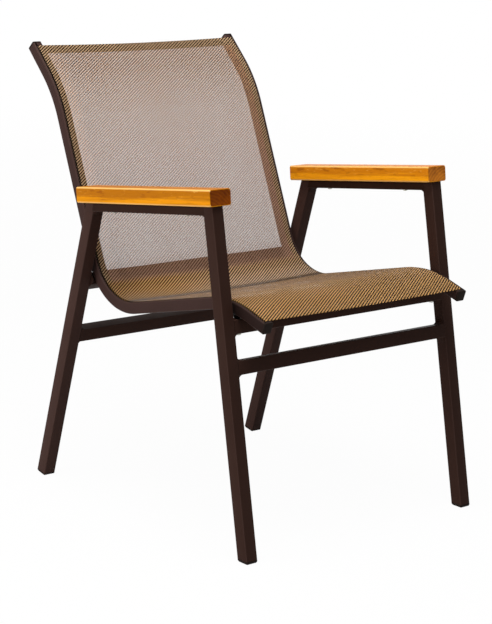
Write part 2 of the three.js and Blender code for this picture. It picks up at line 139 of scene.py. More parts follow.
@dataclass
class Shell:
    """A mesh being gathered: points, faces, and values that the finish reads."""

    points: list[np.ndarray] = field(default_factory=list)
    faces: list[list[int]] = field(default_factory=list)
    shares: list[np.ndarray] = field(default_factory=list)
    rims: list[np.ndarray] = field(default_factory=list)
    count: int = 0

    def add_points(self, points: np.ndarray, share: float | np.ndarray = 0.0,
                   rim: float | np.ndarray = 0.0) -> int:
        """Adds points, with two values for each.

        Args:
            points: an array whose last axis holds x, y and z.
            share: the value that a finish reads as share.
            rim: the value that it reads as rim.

        Returns:
            The index of the first point.
        """
        first = self.count
        flat = np.asarray(points, float).reshape(-1, 3)
        self.points.append(flat)
        self.shares.append(np.broadcast_to(np.asarray(share, float), (len(flat),)))
        self.rims.append(np.broadcast_to(np.asarray(rim, float), (len(flat),)))
        self.count += len(flat)
        return first

    def add_loft(self, rings: np.ndarray, rim: np.ndarray | None = None,
                 end_share: float | None = None) -> None:
        """Adds a closed tube through rings of points, with both its ends filled.

        Args:
            rings: array of rings, points and coordinates, each ring turning the same way.
            rim: how near each point of a ring is to the middle of a rounded edge.
            end_share: the share on the end faces, which then have points of their own. It
                is 0 on the wall.
        """
        rings = np.asarray(rings, float)
        count = rings.shape[1]
        rim = np.zeros(count) if rim is None else rim
        middle = rings.mean(axis=1)
        spin = np.cross(rings[0] - middle[0], np.roll(rings[0], -1, axis=0) - middle[0]).sum(axis=0)
        if np.dot(spin, middle[-1] - middle[0]) < 0:
            rings, rim = rings[:, ::-1], rim[::-1]
        first = self.add_points(rings, rim=np.tile(rim, len(rings)))
        self.faces += loft_faces(len(rings), count, first).tolist()
        low, high = first, first + (len(rings) - 1) * count
        if end_share is not None:
            low = self.add_points(rings[0], end_share)
            high = self.add_points(rings[-1], end_share)
        self.faces.append(list(range(low, low + count))[::-1])
        self.faces.append(list(range(high, high + count)))

    def add_grid(self, grid: np.ndarray, thickness: float, along: np.ndarray,
                 across: np.ndarray) -> np.ndarray:
        """Adds a thin closed sheet whose middle surface is a grid of points.

        Each face of the sheet is the grid moved by half the thickness along its normal,
        which is the cross product of the grid's two directions, and a wall joins them.

        Args:
            grid: rows, columns and coordinates.
            thickness: distance between the two faces.
            along: distance along the cloth of each row.
            across: distance across the cloth of each point, shaped as the grid.

        Returns:
            The flat cloth coordinates of the points, in the order in which they were added.
        """
        rows, columns = grid.shape[:2]
        run = np.gradient(grid, axis=0)
        reach = np.gradient(grid, axis=1)
        normal = np.cross(reach, run)
        normal /= np.linalg.norm(normal, axis=2, keepdims=True)
        upper = self.add_points(grid + normal * thickness / 2)
        lower = self.add_points(grid - normal * thickness / 2)
        r, c = np.meshgrid(np.arange(rows - 1), np.arange(columns - 1), indexing="ij")
        a = r * columns + c
        quads = np.stack([a, a + 1, a + columns + 1, a + columns], axis=-1).reshape(-1, 4)
        self.faces += (quads + upper).tolist()
        self.faces += (quads[:, ::-1] + lower).tolist()
        rim = np.concatenate([
            np.arange(columns), np.arange(1, rows) * columns + columns - 1,
            (rows - 1) * columns + np.arange(columns - 2, -1, -1),
            np.arange(rows - 2, 0, -1) * columns,
        ])
        ahead = np.roll(rim, -1)
        wall = np.stack([rim + upper, rim + lower, ahead + lower, ahead + upper], axis=1)
        self.faces += wall.tolist()
        flat = np.stack([across, np.broadcast_to(along[:, None], across.shape)], axis=2)
        return np.tile(flat.reshape(-1, 2), (2, 1))

    def finish(self, name: str, material: bpy.types.Material, slot: Slot,
               replaces: Sequence[str] = (), sharp: float = 35.0,
               cloth: np.ndarray | None = None) -> bpy.types.Object:
        """Makes the object, smooth but for its sharp edges, and lets it ride on the frame.

        Args:
            name: the piece's name.
            material: its finish.
            slot: the record's slot; unused.
            replaces: the frame's nodes that it stands for.
            sharp: edges that turn by more degrees than this stay crisp.
            cloth: flat cloth coordinates of each point, kept as the UV map.

        Returns:
            The new object.
        """
        mesh = bpy.data.meshes.new(name)
        mesh.from_pydata(np.concatenate(self.points).tolist(), [], self.faces)
        mesh.update()
        for word, values in (("share", self.shares), ("rim", self.rims)):
            made = mesh.attributes.new(word, "FLOAT", "POINT")
            made.data.foreach_set("value", np.concatenate(values))
        if cloth is not None:
            corners = np.empty(len(mesh.loops), np.int32)
            mesh.loops.foreach_get("vertex_index", corners)
            layer = mesh.uv_layers.new(name="cloth")
            layer.data.foreach_set("uv", cloth[corners].ravel())
        mesh.polygons.foreach_set("use_smooth", np.ones(len(mesh.polygons), bool))
        mesh.set_sharp_from_angle(angle=math.radians(sharp))
        mesh.materials.append(material)
        piece = bpy.data.objects.new(name, mesh)
        bpy.context.scene.collection.objects.link(piece)
        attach(piece, "root")
        if replaces:
            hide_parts(*replaces)
        LOG.info("%s: %d faces", name, len(self.faces))
        return piece


# Plane geometry of a side view, in (y, z); a heading is an angle from +Y towards +Z


def along(heading: float | np.ndarray, distance: float | np.ndarray = 1.0) -> np.ndarray:
    """The step of that length in that heading: length times cosine, and length times sine."""
    return np.stack([np.cos(heading) * distance, np.sin(heading) * distance], axis=-1)


def up_from(heading: float | np.ndarray, distance: float | np.ndarray = 1.0) -> np.ndarray:
    """The step of that length a quarter turn above the heading."""
    return along(np.asarray(heading) + math.pi / 2, distance)


def meet(point: np.ndarray, heading: float, other: np.ndarray, other_heading: float) -> np.ndarray:
    """Where two lines cross, each given by a point and a heading."""
    # Solves a way - b other way = other - point for how far to go along the first line
    ways = np.stack([along(heading), -along(other_heading)], axis=1)
    return point + along(heading, np.linalg.solve(ways, other - point)[0])


def placed(local: np.ndarray, place: np.ndarray, x: float, angle: float) -> np.ndarray:
    """Turns local points about X by the angle and moves them to their place.

    Args:
        local: points (x, y, z) in the piece's own frame.
        place: the frame's origin in (y, z).
        x: the frame's origin along X.
        angle: turn from +Y towards +Z.

    Returns:
        The points in the chair's frame.
    """
    local = np.asarray(local, float)
    y, z = local[..., 1], local[..., 2]
    return np.stack([
        local[..., 0] + x,
        place[0] + y * math.cos(angle) - z * math.sin(angle),
        place[1] + y * math.sin(angle) + z * math.cos(angle),
    ], axis=-1)


@dataclass(frozen=True)
class SeatingLine:
    """The line of the rails' seating face, from the front end to the top end."""

    crest_height: float = 0.4525
    front_straight: float = 0.0415
    front_drop: float = math.radians(17)
    crest_radius: float = 0.214
    seat_straight: float = 0.226
    seat_slope: float = math.radians(13.4)
    bend_radius: float = 0.103
    back_straight: float = 0.285
    back_slope: float = math.radians(67.0)
    top_radius: float = 0.266
    top_slope: float = math.radians(44.5)
    top_straight: float = 0.0625
    overrun: float = 0.05
    samples: int = 10801

    @property
    def runs(self) -> list[tuple[float, float, float]]:
        """Each run as its length and its first and last headings."""
        return [
            (self.front_straight, self.front_drop, self.front_drop),
            (self.crest_radius * (self.front_drop + self.seat_slope),
             self.front_drop, -self.seat_slope),
            (self.seat_straight, -self.seat_slope, -self.seat_slope),
            (self.bend_radius * (self.back_slope + self.seat_slope),
             -self.seat_slope, self.back_slope),
            (self.back_straight, self.back_slope, self.back_slope),
            (self.top_radius * (self.back_slope - self.top_slope),
             self.back_slope, self.top_slope),
            (self.top_straight, self.top_slope, self.top_slope),
        ]

    @property
    def length(self) -> float:
        """The whole line's length."""
        return sum(run[0] for run in self.runs)

    def at(self, distance: np.ndarray) -> tuple[np.ndarray, np.ndarray]:
        """Places and headings at distances from the front end.

        The heading changes evenly along each run, and the place is the sum of many short
        steps in the heading, set so that the crest's top is at y = 0.

        Args:
            distance: distances along the line; the end runs go on past both ends.

        Returns:
            The places in (y, z) and the headings.
        """
        knots = np.cumsum([0.0] + [run[0] for run in self.runs])
        turns = np.array([self.runs[0][1]] + [run[2] for run in self.runs])
        fine = np.linspace(-self.overrun, self.length + self.overrun, self.samples)
        heading = np.interp(fine, knots, turns)
        steps = along((heading[1:] + heading[:-1]) / 2, fine[1] - fine[0])
        place = np.concatenate([np.zeros((1, 2)), np.cumsum(steps, axis=0)])
        crest = np.interp(self.front_straight + self.crest_radius * self.front_drop, fine,
                          np.arange(len(fine)))
        top = place[int(round(crest))]
        place = place - top + np.array([0.0, self.crest_height])
        spots = np.asarray(distance, float)
        return (
            np.stack([np.interp(spots, fine, place[:, 0]), np.interp(spots, fine, place[:, 1])],
                     axis=-1),
            np.interp(spots, fine, heading),
        )


@dataclass
class ChairPlan:
    """Where everything is in the side view, and the sizes that several pieces share."""

    line: SeatingLine = field(default_factory=SeatingLine)
    frame_width: float = 0.570
    tube: float = 0.0254
    tube_corner: float = 0.0018
    front_lean: float = math.radians(11.6)
    rear_lean: float = math.radians(14.9)
    rail_width: float = 0.020
    rail_depth: float = 0.022
    rail_leg_gap: float = 0.0075
    seat_tube_angle: float = math.radians(7.6)
    seat_tube_gap: float = 0.0052
    front_stretcher_drop: float = 0.0723
    lumbar_angle: float = math.radians(36.7)
    lumbar_gap: float = 0.0033
    rear_stretcher_drop: float = 0.1125
    arm_rise: float = 0.1653
    arm_slope: float = math.radians(7.7)
    sling_front_inset: float = 0.004
    sling_top_inset: float = 0.008
    hem: float = 0.0185
    hem_gap: float = 0.0009
    foot_height: float = 0.005
    rear_sole_flat: float = 0.008
    gap: float = 0.0003

    def __post_init__(self) -> None:
        """Works out the places that follow from the sizes."""
        line, half = self.line, self.tube / 2
        crest_centre = np.array([0.0, line.crest_height - line.crest_radius])
        seat_front = crest_centre + up_from(-line.seat_slope, line.crest_radius)
        seat_rear = seat_front + along(-line.seat_slope, line.seat_straight)
        bend_centre = seat_rear + up_from(-line.seat_slope, line.bend_radius)
        tilt = self.front_lean + self.seat_tube_angle
        reach = half * (math.cos(tilt) + math.sin(tilt))
        seat_tube = crest_centre + up_from(
            self.seat_tube_angle,
            line.crest_radius - self.rail_depth - self.seat_tube_gap - reach,
        )
        lumbar = bend_centre + along(
            -self.lumbar_angle, line.bend_radius + self.rail_depth + self.lumbar_gap + half,
        )
        end_place, _ = line.at(np.array([line.length]))
        rear_edge = end_place[0, 0] + self.rail_depth * math.sin(line.top_slope)
        self.shift = np.array([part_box("sling_rail_left")[1].y - rear_edge, 0.0])
        self.front_up = math.pi / 2 - self.front_lean
        self.rear_up = math.pi / 2 + self.rear_lean
        self.seat_tube = seat_tube + self.shift
        self.lumbar = lumbar + self.shift
        ground = np.zeros(2)
        self.front_foot = meet(self.seat_tube, self.front_up, ground, 0.0)
        self.rear_foot = meet(self.lumbar, self.rear_up, ground, 0.0)
        self.front_stretcher = self.seat_tube - along(self.front_up, self.front_stretcher_drop)
        self.rear_stretcher = self.lumbar - along(self.rear_up, self.rear_stretcher_drop)
        arm_level = np.array([0.0, line.crest_height + self.arm_rise])
        self.arm_point = meet(self.seat_tube, self.front_up, arm_level, 0.0)
        self.rear_arm_point = meet(self.lumbar, self.rear_up, self.arm_point, -self.arm_slope)
        self.leg_x = self.frame_width / 2 - half
        self.rail_outer_x = self.frame_width / 2 - self.tube - self.rail_leg_gap
        self.rail_inner_x = self.rail_outer_x - self.rail_width
        self.lumbar_turn = math.pi / 2 - self.lumbar_angle
        self.rear_sole = (half - self.rear_sole_flat) * math.tan(self.rear_lean)
        self.arm_turn = -(math.pi / 2 + self.arm_slope)
        self.front_arm_angle = self.front_lean - self.arm_slope
        self.rear_arm_angle = self.rear_lean + self.arm_slope
        self.arm_span = np.linalg.norm(self.rear_arm_point - self.arm_point)
        self.front_leg_reach = half / math.cos(self.front_arm_angle)
        self.rear_leg_reach = half / math.cos(self.rear_arm_angle)

    def stations(self, distance: np.ndarray) -> tuple[np.ndarray, np.ndarray]:
        """Places and headings of the seating line in the chair's frame."""
        place, heading = self.line.at(distance)
        return place + self.shift, heading

    def carried(self, section: np.ndarray, distance: np.ndarray) -> np.ndarray:
        """Carries a section along the seating line.

        A section point (x, depth) at a station is the station's place less its upward
        direction times the depth, at x across the chair.

        Args:
            section: points (x, depth), or one such array for each station.
            distance: the stations' distances from the front end.

        Returns:
            Rings of points.
        """
        place, heading = self.stations(distance)
        section = np.broadcast_to(section, (len(distance),) + section.shape[-2:])
        up = up_from(heading)[:, None, :]
        flat = place[:, None, :] - up * section[..., 1:2]
        return np.concatenate([section[..., 0:1], flat], axis=2)


# Finishes


class Sketch:
    """Draws a node tree: nodes, values on their inputs, and the links between them."""

    def __init__(self, tree: bpy.types.NodeTree) -> None:
        """Takes the tree to draw in."""
        self.tree = tree

    def node(self, kind: str, inputs: dict | None = None, **settings: object) -> bpy.types.Node:
        """Adds a node.

        Args:
            kind: the node's type without the words ShaderNode.
            inputs: sockets or plain values by input name or index.
            **settings: the node's own properties.

        Returns:
            The node.
        """
        name = kind if kind.startswith("Node") else "ShaderNode" + kind
        made = self.tree.nodes.new(name)
        for key, value in settings.items():
            setattr(made, key, value)
        for key, value in (inputs or {}).items():
            self.feed(made.inputs[key], value)
        return made

    def feed(self, target: bpy.types.NodeSocket, value: Socket) -> None:
        """Links a socket to an input, or writes a plain value on it.

        Args:
            target: the input.
            value: a socket, a number or a colour.
        """
        if isinstance(value, bpy.types.NodeSocket):
            self.tree.links.new(value, target)
        elif hasattr(target.default_value, "__len__") and not hasattr(value, "__len__"):
            target.default_value = [value] * len(target.default_value)
        else:
            target.default_value = value

    def math(self, operation: str, a: Socket, b: Socket = 0.0,
             c: Socket = 0.0) -> bpy.types.NodeSocket:
        """One arithmetic step on up to three values."""
        return self.node("Math", {0: a, 1: b, 2: c}, operation=operation).outputs[0]

    def product(self, *factors: Socket) -> bpy.types.NodeSocket:
        """All the factors multiplied together."""
        return functools.reduce(lambda a, b: self.math("MULTIPLY", a, b), factors)

    def mix(self, share: Socket, a: Socket, b: Socket) -> bpy.types.NodeSocket:
        """A colour between two.

        Args:
            share: 0 for the first and 1 for the second.
            a: the first.
            b: the second.

        Returns:
            The colour.
        """
        made = self.node("Mix", data_type="RGBA")
        self.feed(made.inputs[0], share)
        self.feed(made.inputs[6], a)
        self.feed(made.inputs[7], b)
        return made.outputs[2]

    def span(self, value: Socket, low: float, high: float, to_low: Socket = 0.0,
             to_high: Socket = 1.0) -> bpy.types.NodeSocket:
        """A value carried from the range low to high to the range to_low to to_high."""
        made = self.node("MapRange", {0: value, 1: low, 2: high, 3: to_low, 4: to_high})
        return made.outputs[0]

    def blend(self, share: Socket, a: Socket, b: Socket) -> bpy.types.NodeSocket:
        """A value between two.

        Args:
            share: 0 for the first and 1 for the second.
            a: the first.
            b: the second.

        Returns:
            The value.
        """
        made = self.node("Mix", data_type="FLOAT")
        self.feed(made.inputs[0], share)
        self.feed(made.inputs[2], a)
        self.feed(made.inputs[3], b)
        return made.outputs[0]

    def noise(self, vector: Socket, scale: Socket, detail: Socket = 2.0,
              roughness: float = 0.5) -> bpy.types.NodeSocket:
        """Smooth noise.

        Args:
            vector: where it is read.
            scale: waves in a metre, before any stretch of the vector.
            detail: how many finer layers are added.
            roughness: how strong each is beside the one before.

        Returns:
            The noise, about 0.5 on the whole.
        """
        made = self.node("TexNoise", {"Vector": vector, "Scale": scale, "Detail": detail,
                                      "Roughness": roughness})
        return made.outputs[0]


def rgba(colour: Sequence[float]) -> tuple[float, float, float, float]:
    """A colour with full cover."""
    return (colour[0], colour[1], colour[2], 1.0)


class Effects:
    """Node groups that several finishes share, each built once."""

    _made: dict[str, bpy.types.NodeTree] = {}

    @classmethod
    def group(cls, name: str, inputs: dict, outputs: dict) -> tuple[bpy.types.NodeTree, bool]:
        """Finds a group or starts it with named sockets.

        Args:
            name: the group's name.
            inputs: socket types, with their defaults, by name.
            outputs: socket types by name.

        Returns:
            The group, and whether it is new and has to be drawn.
        """
        if name in cls._made:
            return cls._made[name], False
        tree = bpy.data.node_groups.new(name, "ShaderNodeTree")
        for word, (kind, value) in inputs.items():
            made = tree.interface.new_socket(word, in_out="INPUT", socket_type=kind)
            if value is not None:
                made.default_value = value
        for word, kind in outputs.items():
            tree.interface.new_socket(word, in_out="OUTPUT", socket_type=kind)
        cls._made[name] = tree
        return tree, True

    @classmethod
    def mottle(cls) -> bpy.types.NodeTree:
        """Broad soft patches and fine specks: how much lighter or darker a point is.

        Returns:
            The group.
        """
        tree, new = cls.group("mottle", {
            "Vector": ("NodeSocketVector", None), "Patch": ("NodeSocketFloat", 9.0),
            "Speck": ("NodeSocketFloat", 900.0), "Depth": ("NodeSocketFloat", 0.1),
        }, {"Factor": "NodeSocketFloat"})
        if new:
            s = Sketch(tree)
            given = s.node("NodeGroupInput")
            out = s.node("NodeGroupOutput")
            patch = s.node("TexNoise", {"Vector": given.outputs["Vector"],
                                        "Scale": given.outputs["Patch"], "Detail": 3.0})
            speck = s.node("TexNoise", {"Vector": given.outputs["Vector"],
                                        "Scale": given.outputs["Speck"], "Detail": 1.0})
            both = s.math("ADD", s.math("SUBTRACT", patch.outputs[0], 0.5),
                          s.math("MULTIPLY", s.math("SUBTRACT", speck.outputs[0], 0.5), 0.6))
            wide = s.math("MULTIPLY", s.math("MULTIPLY", both, 2.0), given.outputs["Depth"])
            s.feed(out.inputs["Factor"], s.math("ADD", 1.0, wide))
        return tree

    @classmethod
    def smear(cls) -> bpy.types.NodeTree:
        """Gloss that wanders between two roughnesses, as handling and weather leave it.

        Returns:
            The group.
        """
        tree, new = cls.group("smear", {
            "Vector": ("NodeSocketVector", None), "Scale": ("NodeSocketFloat", 30.0),
            "Detail": ("NodeSocketFloat", 3.0), "Low": ("NodeSocketFloat", 0.3),
            "High": ("NodeSocketFloat", 0.5),
        }, {"Roughness": "NodeSocketFloat"})
        if new:
            s = Sketch(tree)
            given = s.node("NodeGroupInput")
            out = s.node("NodeGroupOutput")
            cloud = s.noise(given.outputs["Vector"], given.outputs["Scale"],
                            given.outputs["Detail"])
            s.feed(out.inputs["Roughness"], s.span(cloud, 0.3, 0.7, given.outputs["Low"],
                                                   given.outputs["High"]))
        return tree

    @classmethod
    def rim_wear_and_highlight(cls) -> bpy.types.NodeTree:
        """Edge abrasion and painted highlight: a colour gives way to a paler one along the rims.

        Returns:
            The group.
        """
        tree, new = cls.group("rim_wear_and_highlight", {
            "Rim": ("NodeSocketFloat", 0.0), "Share": ("NodeSocketFloat", 0.5),
            "Color": ("NodeSocketColor", None), "Worn": ("NodeSocketColor", None),
        }, {"Color": "NodeSocketColor"})
        if new:
            s = Sketch(tree)
            given = s.node("NodeGroupInput")
            out = s.node("NodeGroupOutput")
            paler_rim = s.math("MULTIPLY", given.outputs["Rim"], given.outputs["Share"])
            s.feed(out.inputs["Color"], s.mix(paler_rim, given.outputs["Color"],
                                              given.outputs["Worn"]))
        return tree

    @classmethod
    def twill(cls) -> bpy.types.NodeTree:
        """Open twill of flat yarns.

        A point's warp number is its distance across over the warp pitch, and its weft
        number its distance along over the weft pitch. The warp lies on top where the
        difference of the two whole numbers, counted round in fours, is 0 or 1. A yarn is
        wide where it lies on top and narrow where it dives, and where no yarn reaches
        there is a hole.

        Returns:
            The group.
        """
        tree, new = cls.group("open_twill", {
            "Vector": ("NodeSocketVector", None),
            "Warp Pitch": ("NodeSocketFloat", 0.002083),
            "Weft Pitch": ("NodeSocketFloat", 0.001375),
            "Warp Wide": ("NodeSocketFloat", 0.5), "Weft Wide": ("NodeSocketFloat", 0.5),
            "Narrow": ("NodeSocketFloat", 0.2),
        }, {"Warp": "NodeSocketFloat", "Cover": "NodeSocketFloat", "Height": "NodeSocketFloat"})
        if new:
            s = Sketch(tree)
            given = s.node("NodeGroupInput")
            out = s.node("NodeGroupOutput")
            parts = s.node("SeparateXYZ", {0: given.outputs["Vector"]})
            u = s.math("DIVIDE", parts.outputs[0], given.outputs["Warp Pitch"])
            v = s.math("DIVIDE", parts.outputs[1], given.outputs["Weft Pitch"])
            turn = s.math("FLOORED_MODULO", s.math("SUBTRACT", s.math("FLOOR", u),
                                                   s.math("FLOOR", v)), 4.0)
            on_top = s.math("LESS_THAN", turn, 1.5)
            under = s.math("SUBTRACT", 1.0, on_top)
            from_warp = s.math("ABSOLUTE", s.math("SUBTRACT", s.math("FRACT", u), 0.5))
            from_weft = s.math("ABSOLUTE", s.math("SUBTRACT", s.math("FRACT", v), 0.5))
            narrow = given.outputs["Narrow"]
            warp_half = s.math("MULTIPLY", 0.5, s.math(
                "MULTIPLY_ADD", s.math("SUBTRACT", given.outputs["Warp Wide"], narrow),
                on_top, narrow))
            weft_half = s.math("MULTIPLY", 0.5, s.math(
                "MULTIPLY_ADD", s.math("SUBTRACT", given.outputs["Weft Wide"], narrow),
                under, narrow))
            warp = s.math("LESS_THAN", from_warp, warp_half)
            weft = s.math("LESS_THAN", from_weft, weft_half)
            alone = s.math("MAXIMUM", s.math("SUBTRACT", 1.0, weft), on_top)
            shown = s.math("MULTIPLY", warp, alone)
            round_warp = s.math("SUBTRACT", 1.0, s.math(
                "POWER", s.math("DIVIDE", from_warp, warp_half), 2.0))
            round_weft = s.math("SUBTRACT", 1.0, s.math(
                "POWER", s.math("DIVIDE", from_weft, weft_half), 2.0))
            height = s.math("ADD", s.math("MULTIPLY", shown, round_warp), s.math(
                "MULTIPLY", s.math("SUBTRACT", 1.0, shown), round_weft))
            s.feed(out.inputs["Warp"], shown)
            s.feed(out.inputs["Cover"], s.math("MAXIMUM", warp, weft))
            s.feed(out.inputs["Height"], s.math("MAXIMUM", height, 0.0))
        return tree


class Finish:
    """A material with one glossy shader, and the sketch that feeds it."""

    def __init__(self, name: str, **plain: Socket) -> None:
        """Starts a material.

        Args:
            name: the material's name.
            **plain: values of the shader's own sockets, with underscores for spaces.
        """
        self.material = bpy.data.materials.new(name)
        self.material.use_nodes = True
        self.sketch = Sketch(self.material.node_tree)
        self.shader = self.material.node_tree.nodes["Principled BSDF"]
        for word, value in plain.items():
            self.shader.inputs[word.replace("_", " ")].default_value = value
        where = self.sketch.node("TexCoord")
        self.place = where.outputs["Object"]
        self.cloth = where.outputs["UV"]

    def feed(self, word: str, value: Socket) -> None:
        """Links a value to one of the shader's sockets."""
        self.sketch.feed(self.shader.inputs[word], value)

    def effect(self, tree: bpy.types.NodeTree, inputs: dict) -> bpy.types.Node:
        """Places a shared effect.

        Args:
            tree: its node group.
            inputs: sockets or plain values by input name.

        Returns:
            The node.
        """
        made = self.sketch.node("Group", node_tree=tree)
        for word, value in inputs.items():
            self.sketch.feed(made.inputs[word], value)
        return made

    def smear(self, scale: float, detail: float, low: float, high: float) -> None:
        """Lets the gloss wander.

        Args:
            scale: waves in a metre.
            detail: how many finer layers are added.
            low: the least roughness.
            high: the greatest.
        """
        made = self.effect(Effects.smear(), {"Vector": self.place, "Scale": scale,
                                             "Detail": detail, "Low": low, "High": high})
        self.feed("Roughness", made.outputs[0])

    def rim_wear_and_highlight(self, colour: Socket, worn: Sequence[float], share: float) -> Socket:
        """Pales a colour along the piece's rims, for edge abrasion and a painted highlight.

        Args:
            colour: the colour.
            worn: the paler colour it goes to.
            share: how far it goes over in the middle of a rim.

        Returns:
            The colour, paler along the rims.
        """
        rim = self.sketch.node("Attribute", attribute_name="rim")
        made = self.effect(Effects.rim_wear_and_highlight(), {"Rim": rim.outputs["Fac"], "Share": share,
                                                "Color": colour, "Worn": rgba(worn)})
        return made.outputs[0]

    def bump(self, height: Socket, strength: float, distance: float) -> None:
        """Raises the surface by a height.

        Args:
            height: the height, from 0 to 1.
            strength: how much of it shows.
            distance: what 1 stands for.
        """
        made = self.sketch.node("Bump", {"Strength": strength, "Distance": distance,
                                         "Height": height})
        self.feed("Normal", made.outputs[0])


@dataclass(frozen=True)
class PowderCoat:
    """Dark brown satin powder coat with fine orange peel."""

    name: str = "powder_coat"
    colour: tuple = (0.033, 0.0155, 0.0115)
    worn: tuple = (0.062, 0.036, 0.030)
    roughness: float = 0.42
    front_shade: float = 1.0
    front_shade_from: float = -0.285
    front_shade_fade: float = 0.03
    inner_light: float = 1.0
    inner_light_from: float = 0.0
    inner_light_fade: float = 0.0008

    def build(self) -> bpy.types.Material:
        """Draws the coat: patches in the colour, peel in the bump, specks in the gloss.

        What is in front of a given place along Y may be painted darker, as shade, and what is
        nearer to the middle than a given distance may be painted paler, as light on inner faces.

        Returns:
            The material.
        """
        finish = Finish(self.name, Specular_IOR_Level=0.03)
        s = finish.sketch
        patch = finish.effect(Effects.mottle(), {
            "Vector": finish.place, "Patch": 14.0, "Speck": 1400.0, "Depth": 0.16})
        parts = s.node("SeparateXYZ", {0: finish.place})
        # Painted shade: darker in front of a place along Y, where the rails' front ends lie in
        # shade
        front_shading = s.span(parts.outputs[1], self.front_shade_from,
                      self.front_shade_from + self.front_shade_fade, self.front_shade, 1.0)
        # Painted light: paler nearer the middle, where the rails' inner faces catch the light
        inside = s.span(s.math("ABSOLUTE", parts.outputs[0]), self.inner_light_from,
                        self.inner_light_from + self.inner_light_fade, self.inner_light, 1.0)
        shade = s.node("HueSaturation", {"Value": s.product(patch.outputs[0], front_shading, inside),
                                         "Color": rgba(self.colour)})
        # The rims are paler: edge abrasion, and a painted highlight
        finish.feed("Base Color", finish.rim_wear_and_highlight(shade.outputs[0], self.worn, 0.5))
        finish.smear(30.0, 3.0, self.roughness - 0.05, self.roughness + 0.07)
        finish.bump(s.noise(finish.place, 620.0, 2.0), 0.22, 0.0004)
        return finish.material


@dataclass(frozen=True)
class MouldedPlastic:
    """Moulded plastic with a fine spark-eroded texture."""

    name: str
    colour: tuple
    roughness: float = 0.5

    def build(self) -> bpy.types.Material:
        """Draws the plastic: faint patches, fine pitting and a rubbed gloss.

        Returns:
            The material.
        """
        finish = Finish(self.name, Specular_IOR_Level=0.03)
        s = finish.sketch
        patch = finish.effect(Effects.mottle(), {
            "Vector": finish.place, "Patch": 40.0, "Speck": 2200.0, "Depth": 0.22})
        shade = s.node("HueSaturation", {"Value": patch.outputs[0],
                                         "Color": rgba(self.colour)})
        finish.feed("Base Color", shade.outputs[0])
        finish.smear(60.0, 3.0, self.roughness - 0.08, self.roughness + 0.08)
        finish.bump(s.noise(finish.place, 1800.0, 1.0), 0.25, 0.0002)
        return finish.material


@dataclass(frozen=True)
class ZincPlate:
    """Bright zinc with a faint cloudy tint."""

    colour: tuple = (0.52, 0.51, 0.48)
    tint: tuple = (0.46, 0.44, 0.36)

    def build(self) -> bpy.types.Material:
        """Draws the plating: clouds between two tints, and fine scratches in the gloss.

        Returns:
            The material.
        """
        finish = Finish("zinc_plate", Metallic=1.0)
        s = finish.sketch
        cloud = s.noise(finish.place, 160.0, 3.0)
        finish.feed("Base Color", s.mix(s.span(cloud, 0.35, 0.65), rgba(self.colour),
                                        rgba(self.tint)))
        finish.smear(700.0, 2.0, 0.25, 0.45)
        finish.bump(s.noise(finish.place, 1500.0, 2.0), 0.15, 0.0001)
        return finish.material


